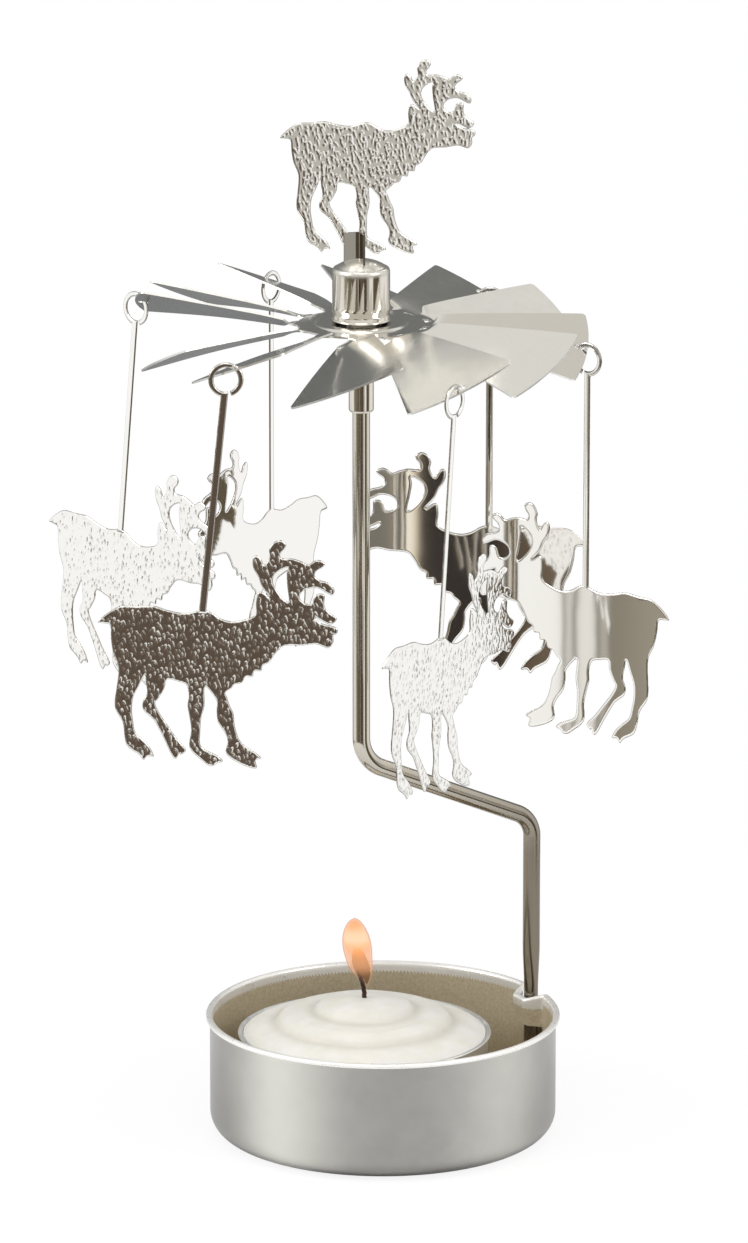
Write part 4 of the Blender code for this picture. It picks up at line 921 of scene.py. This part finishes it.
def smooth_closed(shares, steps):
    """Closed curve through points given in thousandths, by Catmull-Rom: half of 2 p1 + (p2 - p0) t
    + (2 p0 - 5 p1 + 4 p2 - p3) t^2 + (3 p1 - p0 - 3 p2 + p3) t^3."""
    p1 = np.array(shares)[:, None] / 1000
    p0, p2, p3 = np.roll(p1, 1, 0), np.roll(p1, -1, 0), np.roll(p1, -2, 0)
    t = np.linspace(0, 1, steps, endpoint=False)[None, :, None]
    curve = 0.5 * (2 * p1 + (p2 - p0) * t + (2 * p0 - 5 * p1 + 4 * p2 - p3) * t ** 2
        + (3 * p1 - p0 - 3 * p2 + p3) * t ** 3)
    return curve.reshape(-1, 2)


def depth_inside(x, y, outline):
    """Distance to a closed outline, above 0 inside it: the nearest point of any segment, and the
    sign from how often a level line to the right crosses the outline."""
    nearest = np.full(x.shape, np.inf)
    inside = np.zeros(x.shape, bool)
    for (ax, ay), (bx, by) in zip(outline, np.roll(outline, -1, 0)):
        dx, dy = bx - ax, by - ay
        share = np.clip(((x - ax) * dx + (y - ay) * dy) / (dx * dx + dy * dy + 1e-12), 0, 1)
        nearest = np.minimum(nearest, (x - ax - share * dx) ** 2 + (y - ay - share * dy) ** 2)
        if ay != by:
            inside ^= ((ay > y) != (by > y)) & (x < dx * (y - ay) / dy + ax)
    return np.where(inside, 1, -1) * np.sqrt(nearest)


def hair(x, y):
    """Stamped hair: locks about 0.4 mm wide and 1.1 mm long, leaning back a little, one to each cell
    of a slanting grid and off its middle by chance.

    A lock's height is h f(u) f(v), where u and v are shares of its own half width and half length
    and f(w) is the smaller of (w + 1) / 1.6 and (1 - w) / 0.4: it rises gently and drops at its far
    side and at its upper end. The tallest one at a place counts. The second result is painted
    shadow, a dark line along the far side of the tallest locks: exp(-((u - 0.8) / 0.4)^2) (1 - v^2) / 2."""
    across = (x * math.cos(HAIR_SLANT) + y * math.sin(HAIR_SLANT)) / HAIR_PITCH
    along = (y * math.cos(HAIR_SLANT) - x * math.sin(HAIR_SLANT)) / HAIR_ROW
    height, shade = np.zeros_like(x), np.zeros_like(x)
    for i in (-1, 0, 1):
        for j in (-1, 0, 1):
            c, r = np.floor(across) + i, np.floor(along) + j
            aside = (across - c - 0.5 - 0.8 * (scatter(c, r, 2) - 0.5)) * HAIR_PITCH
            down = (along - r - 0.5 - 0.9 * (scatter(c, r, 3) - 0.5)) * HAIR_ROW
            lean = (scatter(c, r, 1) - 0.5) * 0.7
            u = (aside - lean * down) * 2 / (HAIR_WIDTH * (0.7 + 0.6 * scatter(c, r, 4)))
            v = down * 2 / (HAIR_LENGTH * (0.55 + 0.8 * scatter(c, r, 5)))
            tall = 0.35 + 0.65 * scatter(c, r, 6)
            ridge = [np.clip(np.minimum((w + 1) / 1.6, (1 - w) / 0.4), 0, 1) for w in (u, v)]
            height = np.maximum(height, tall * ridge[0] * ridge[1])
            line = np.exp(-((u - 0.8) / 0.4) ** 2) * np.clip(1 - v * v, 0, 1)
            # Painted shadow: a dark line along the far side of each tall lock
            shade = np.maximum(shade, line * smoothstep((tall - 0.7) * 3) / 2)
    return height, shade


def figure_sheet(length, hanging):
    """The figure in its own plane, in millimetres: cells of the grid inside the outline, cut along
    it. The front carries the hair and the back a wide rolled edge.

    The values are the hair's height, its painted shadow lines, the rim's painted shade and the
    back's bow, which is -k (x - middle)^2 / 2."""
    cell, up = FIGURE_CELL
    body = smooth_closed(OUTLINE, 4) * length
    eye = smooth_closed(ANTLER_EYE, 4) * length
    middle = length * STEM_SHARE
    top = HOOK_TO_HOOF - RING_DROP + RING_OUTER + 2 * up if hanging else length * 1.02
    x, y = np.meshgrid(np.arange(-0.04 * length, length * 1.02, cell),
        np.arange(-0.02 * length, length * 1.02, up))
    depth = np.minimum(depth_inside(x, y, body), -depth_inside(x, y, eye))
    if hanging:
        y_up = np.arange(y[-1, 0] + up, top, up)
        x = np.concatenate([x, np.broadcast_to(x[0], (len(y_up), x.shape[1]))])
        y = np.concatenate([y, np.broadcast_to(y_up[:, None], (len(y_up), x.shape[1]))])
        depth = np.concatenate([depth, np.full((len(y_up), x.shape[1]), -9.0)])
        centre = HOOK_TO_HOOF - RING_DROP
        base = length * STEM_BASE_SHARE
        stem = np.minimum(STEM_WIDTH / 2 - np.abs(x - middle),
            np.minimum(y - base, centre - RING_INNER - y))
        out = np.hypot(x - middle, y - centre)
        ring = np.minimum(out - RING_INNER, RING_OUTER - out)
        turn = np.mod(np.arctan2(y - centre, x - middle) + math.pi / 2, 2 * math.pi)
        # The slit between the ring's free end and the stem
        free = (x - middle - STEM_WIDTH / 2, (RING_OPENING - turn) * out)
        slit = np.minimum(*free)
        lower = (y < centre) & (x > middle) & (turn < RING_OPENING + 0.3)
        ring = np.where(lower, np.minimum(ring, -slit), ring)
        depth = np.maximum(depth, np.maximum(stem, ring))
    fur = furry(x, y, middle, length, hanging)
    grain, painted_lock_shadow = hair(x, y)
    fields = np.stack([field.ravel() for field in (x, y, depth, grain, fur, painted_lock_shadow)], 1)
    cut, triangles = clip(fields, grid_triangles(*x.shape), depth.ravel())
    inside = np.maximum(cut[:, 2], 0)
    ease = np.maximum(FRONT_ROLL - inside, 0)
    front_drop = FRONT_ROLL - np.sqrt(np.maximum(FRONT_ROLL ** 2 - ease ** 2, 0))
    ease = np.clip(inside / BACK_ROLL, 0, 1)
    back_drop = BACK_ROLL_DEPTH * (1 - np.sqrt(np.maximum(1 - (1 - ease) ** 2, 0)))
    clear = cut[:, 4] * smoothstep((inside - 0.1) / 0.25)
    stamp = cut[:, 3] * clear
    front = DEER_SHEET / 2 - STAMP_DEPTH * cut[:, 4] + STAMP_DEPTH * stamp - front_drop
    back = -DEER_SHEET / 2 + back_drop
    # Painted shade: the rim, within the front roll's radius of the outline, is painted darker on both
    # sides
    rim = 1 - smoothstep(inside / FRONT_ROLL)
    bow = -FIGURE_BOW / 2 * (cut[:, 0] - length / 2) ** 2
    none = np.zeros(len(cut))
    pairs = {"stamp": (stamp, none), "shade": (cut[:, 5] * clear, none), "rim": (rim, rim),
        "bow": (bow, bow)}
    values = {key: np.concatenate(pair) for key, pair in pairs.items()}
    return (np.column_stack([cut[:, :2], front]), np.column_stack([cut[:, :2], back]), triangles,
        values)


def furry(x, y, middle, length, hanging):
    """1 on the animal's body and 0 on its stem and ring, where the sheet stays smooth."""
    beside = np.clip((np.abs(x - middle) - STEM_WIDTH / 2) * 4, 0, 1)
    above = smoothstep((length * 1.03 - y) / 0.5) if hanging else 1.0
    return np.where((y < length * BACK_SHARE) | (not hanging), 1.0, beside) * above


def hook_frame(number):
    """Hinge point and heading of a hanging figure, from the wheel's centre and before its turn."""
    angle = -2 * math.pi * number / DEER_COUNT
    turn = math.radians(DEER_TURNS[number])
    lift = math.radians(VANE_LIFTS[-2 * number])
    out = np.array([math.cos(angle), math.sin(angle), 0])
    ahead = np.array([-math.sin(angle), math.cos(angle), 0])
    heading = ahead * math.cos(turn) - out * math.sin(turn)
    slope = math.tan(VANE_TWIST) * math.cos(turn) / math.cos(lift) - math.sin(turn) * math.tan(lift)
    line = DISC_RADIUS + VANE_TWIST_LENGTH / 2
    reach = WHEEL_RADIUS - HOLE_MARGIN - line
    place = out * (line + reach * math.cos(lift)) - heading * RING_REACH
    place[2] = reach * math.sin(lift) - RING_REACH * slope
    return place, heading


def standing(points):
    """Turn a flat figure upright: its front faces -Y."""
    return np.stack([points[:, 0], -points[:, 2], points[:, 1]], 1)


def make_reindeer(faces):
    """Six copies of one sheet, each turned about its hinge point: first by what brings its weight
    under the hinge line and its own lean, then to its heading, then with the wheel."""
    front, back, triangles, values = figure_sheet(DEER_LENGTH, True)
    hook = np.array([DEER_LENGTH * STEM_SHARE, HOOK_TO_HOOF, 0])
    points, everything, side = thick(front - hook, back - hook, triangles)
    for number in range(DEER_COUNT):
        place, heading = hook_frame(number)
        placed = standing(turned_about(points, DEER_LEAN + math.radians(DEER_LEANS[number])))
        placed = turned_about(placed, math.atan2(heading[1], heading[0])) + place
        placed = turned_about(placed, FIRST_HOLE_ANGLE) + [-ROTOR_OFFSET, 0, WHEEL_HEIGHT]
        name = "reindeer_%d" % (number + 1)
        piece(name, placed, everything, name, faces, ["hanging_" + name], side=side,
            angle=75, values=values)


def make_top_reindeer(faces):
    """The smaller figure, with the folded tab that its middle hooves stand on.

    The tab is a line bent through a right angle, drawn upwards and made thick: half of its width
    runs back along the figure and half stands out of its stamped side."""
    front, back, triangles, values = figure_sheet(TOP_LENGTH, False)
    points, everything, side = thick(front, back, triangles)
    hoof_level = CAP_TOP + TOP_HOOF_HEIGHT
    points = standing(turned_about(points - [TOP_LENGTH * TAB_SHARE, 0, 0], TOP_LEAN))
    points = points + [0, 0, hoof_level]
    low, high = CAP_CEILING - TAB_DEPTH, hoof_level + TOP_LENGTH * TAB_TOP_SHARE
    half = DEER_SHEET / 2
    fold = 0.3
    line = np.concatenate([between([(-TAB_WIDTH, 0), (-half - fold, 0)], 0.5)[:-1],
        arc((-half - fold, -fold), fold, math.pi / 2, 0, 8),
        between([(-half, -fold), (-half, half - TAB_WIDTH)], 0.5)[1:]])
    tangent = np.gradient(line, axis=0)
    tangent /= np.linalg.norm(tangent, axis=1, keepdims=True)
    aside = np.stack([-tangent[:, 1], tangent[:, 0]], 1) * (half + 0.01)
    levels = between([[low], [high]], 0.6)[:, 0]
    outer, inner = (np.concatenate([np.column_stack([line + sign * aside, np.full(len(line), z)])
        for z in levels]) for sign in (1, -1))
    tab, tab_triangles, tab_side = thick(outer, inner, grid_triangles(len(levels), len(line)))
    # The tab is painted halfway to the rim's dark colour all over: painted shade
    values = {key: np.concatenate([value, np.full(len(tab), 0.5 if key == "rim" else 0.0)])
        for key, value in values.items()}
    everything = np.concatenate([everything, tab_triangles[:, ::-1] + len(points)])
    side = np.concatenate([side, np.where(tab_side == 2, 2, 1)])
    points = np.concatenate([points, tab])
    points = turned_about(points, TOP_TURN) - [ROTOR_OFFSET, 0, 0]
    piece("reindeer_top", points, everything, "rotor", faces, ["top_reindeer"],
        side=side, angle=75, values=values)


# Light, floor and camera

def make_camera():
    """The photograph's view: level distance, height, downward angle and lens."""
    data = bpy.data.cameras.new("camera")
    camera = add_object("camera", data)
    data.sensor_width = 36.0
    data.lens = CAMERA_LENS
    data.clip_start, data.clip_end = 0.05, 20.0
    camera.location = (-CAMERA_DISTANCE * math.sin(SOCKET_BEARING) * METRES,
        -CAMERA_DISTANCE * math.cos(SOCKET_BEARING) * METRES, CAMERA_HEIGHT * METRES)
    camera.rotation_euler = (math.pi / 2 - CAMERA_DOWN, 0, CAMERA_ASIDE - SOCKET_BEARING)
    bpy.context.scene.camera = camera


def make_world():
    """White studio for the metal to mirror, round a dim side towards the camera and a grey one
    behind. Bearings are degrees to the right of the camera's side."""
    world = bpy.data.worlds.new("studio")
    bpy.context.scene.world = world
    world.use_nodes = True
    add = partial(add_node, world.node_tree)
    way = add("VectorRotate", {"Vector": add("TexCoord", {})["Generated"], "Angle": SOCKET_BEARING},
        rotation_type="Z_AXIS")
    side, away, up = add("SeparateXYZ", {0: way["Vector"]}).values()
    towards = add("Math", {0: away, 1: -1.0}, operation="MULTIPLY")[0]
    angle = add("Math", {0: side, 1: towards}, operation="ARCTAN2")[0]

    low = None
    for stops in LOW_STUDIO:
        first, last = stops[0][0], stops[-1][0]
        share = add("MapRange", {"Value": angle, "From Min": math.radians(first),
            "From Max": math.radians(last)})["Result"]
        stops = [((degrees - first) / (last - first), code) for degrees, code in stops]
        window = add("ValToRGB", {"Fac": share}, stops)["Color"]
        beyond = add("Math", {0: angle, 1: math.radians(first)}, operation="GREATER_THAN")[0]
        low = window if low is None else add("Mix", {0: beyond, 6: low, 7: window}, data_type="RGBA")[2]
    # On the camera's side the room is bright from just below the horizon up, and elsewhere from
    # about 35 degrees up
    front = add("MapRange", {"Value": towards, "From Min": 0.2, "From Max": 0.5})["Result"]
    open_up = add("MapRange", {"Value": up, "From Min": -0.12, "From Max": 0.02})["Result"]
    share = add("Math", {0: front, 1: open_up}, operation="MULTIPLY")[0]
    low = add("Mix", {0: share, 6: low, 7: linear("#F4F2EE")}, data_type="RGBA")[2]
    height = add("Math", {0: side, 1: 0.2, 2: up}, operation="MULTIPLY_ADD")[0]
    rise = add("MapRange", {"Value": height, "From Min": 0.56, "From Max": 0.66},
        interpolation_type="SMOOTHSTEP")["Result"]
    # High up on the right the ceiling is a little greyer, which parts the right-hand vanes
    aloft = add("MapRange", {"Value": up, "From Min": 0.72, "From Max": 0.76})["Result"]
    right = add("MapRange", {"Value": side, "From Min": 0.0, "From Max": 0.08})["Result"]
    share = add("Math", {0: aloft, 1: right}, operation="MULTIPLY")[0]
    ceiling = add("Mix", {0: share, 6: linear("#FFFEFB"), 7: linear("#EBE8E2")}, data_type="RGBA")[2]
    seen = add("Mix", {0: rise, 6: low, 7: ceiling}, data_type="RGBA")[2]
    # Below, the table's far end is grey, from 14 degrees down behind and from 25 in front
    depth = add("Math", {0: away, 1: -0.1, 2: up}, operation="MULTIPLY_ADD")[0]
    sink = add("MapRange", {"Value": depth, "From Min": -0.33, "From Max": -0.38})["Result"]
    seen = add("Mix", {0: sink, 6: seen, 7: linear("#9E9F9E")}, data_type="RGBA")[2]
    path = add("LightPath", {})
    mirrored = add("Math", {0: path["Is Glossy Ray"], 1: path["Is Transmission Ray"]},
        operation="MAXIMUM")[0]
    soft = add("Mix", {0: mirrored, 6: (0.62, 0.62, 0.62, 1), 7: seen}, data_type="RGBA")[2]
    shown = add("Mix", {0: path["Is Camera Ray"], 6: soft, 7: (1, 1, 1, 1)}, data_type="RGBA")[2]
    put(world.node_tree.nodes["Background"], {"Color": shown})


def make_floor():
    """Round white table top, 0.32 m across. The camera sees it white, with the object's soft
    shadow."""
    angle = np.linspace(0, 2 * math.pi, 129)[:-1]
    mesh = bpy.data.meshes.new("table_top")
    points = np.stack([0.16 * np.cos(angle), 0.16 * np.sin(angle), 0 * angle - 0.0002], 1)
    mesh.from_pydata(points.tolist(), [], [list(range(128))])
    material, add, shader = surface("white_table_top", Roughness=0.7, Base_Color=(0.85, 0.85, 0.85, 1))
    share = add("Math", {0: add("LightPath", {})["Is Camera Ray"], 1: 0.84}, operation="MULTIPLY")[0]
    glow = add("Emission", {"Color": (1, 1, 1, 1), "Strength": 1.04})["Emission"]
    mixed = add("MixShader", {0: share, 1: shader.outputs["BSDF"], 2: glow})["Shader"]
    put(material.node_tree.nodes["Material Output"], {"Surface": mixed})
    mesh.materials.append(material)
    add_object("table_top", mesh)


def add_softbox(name, bearing, height, distance, width, tall, power):
    """Rectangular lamp that faces the object. The bearing is from the camera's side, right positive."""
    data = bpy.data.lights.new(name, "AREA")
    data.shape = "RECTANGLE"
    data.size, data.size_y = width, tall
    data.energy = power
    lamp = add_object(name, data)
    angle = -math.pi / 2 - SOCKET_BEARING + math.radians(bearing)
    lamp.location = (distance * math.cos(angle), distance * math.sin(angle), height)
    aim = Vector((0, 0, 0.08)) - lamp.location
    lamp.rotation_euler = aim.to_track_quat("-Z", "Y").to_euler()


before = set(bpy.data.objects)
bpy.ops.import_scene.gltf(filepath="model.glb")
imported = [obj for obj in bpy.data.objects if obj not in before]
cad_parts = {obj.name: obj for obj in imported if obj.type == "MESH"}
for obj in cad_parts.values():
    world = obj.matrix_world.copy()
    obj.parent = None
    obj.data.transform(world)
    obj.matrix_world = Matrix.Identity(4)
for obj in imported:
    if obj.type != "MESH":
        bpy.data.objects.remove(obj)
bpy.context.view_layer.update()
make_camera()
make_world()
make_floor()
add_softbox("left_softbox", -70, 0.55, 0.9, 0.5, 0.5, 4.0)
add_softbox("right_softbox", 62, 0.6, 0.9, 0.35, 0.5, 3.0)
add_softbox("top_softbox", 0, 1.0, 0.35, 0.5, 0.5, 2.5)

# Painted reflection: the tube is painted a darker brown below 62 mm, fully so from 40 mm down
tube_plate = polished_nickel("polished_nickel_tube", "#D3CDC1", 0.1, 0.1, (62, 40, "#857D70", 0.16))
# The cap's dome is duller than its wall
shoulder = CAP_BASE + CAP_HEIGHT
cap_plate = polished_nickel("polished_nickel_cap", "#DFDAD0", 0.07, 0.02,
    (shoulder - 0.1, shoulder + 0.3, "#D3D0C9", 0.3))
# The wheel's top mirrors the studio softly, and its underside is painted darker as painted shade
wheel_plate = polished_nickel("polished_nickel_sheet", "#D6D4CE", 0.15, 0.2)
under_plate = polished_nickel("underside_painted_shade", "#848685", 0.18, 0.2)
# The lip's inner side is worn bright and frosted, so it scatters light as well
lip_plate = polished_nickel("bright_lip", "#F6F4F0", 0.3, 0.02, metallic=0.5)
# The figures' punched edges are painted dark, painted shade that draws thin dark outlines, and the
# wheel's sheared ones bright
edge_plate = polished_nickel("punched_edge_painted_shade", "#6E695F", 0.35, 0.3)
sheared_plate = polished_nickel("sheared_edge", "#F6F5F1", 0.3, 0.2)
# The foil blurs all it mirrors to a soft grey. Brass and steel are inside, and show only apart
foil_plate = polished_nickel("pressed_aluminium_foil", "#EDEDEB", 0.42, 0.2)
brass_plate = polished_nickel("turned_brass", "#C9A463", 0.3, 0.2)
needle_plate = polished_nickel("ground_steel", "#B4B5B6", 0.25, 0.2)
make_cup(satin_nickel(), cup_inside(), lip_plate)
make_tube(tube_plate)
make_candle(foil_plate, wax_white(), wick_char())
make_flame()
make_wheel(wheel_plate, under_plate, sheared_plate)
make_hub(cap_plate, brass_plate, needle_plate)
figure_faces = [stamped_face(), figure_back(), edge_plate]
make_reindeer(figure_faces)
make_top_reindeer(figure_faces)

bpy.context.scene.view_settings.view_transform = "Standard"
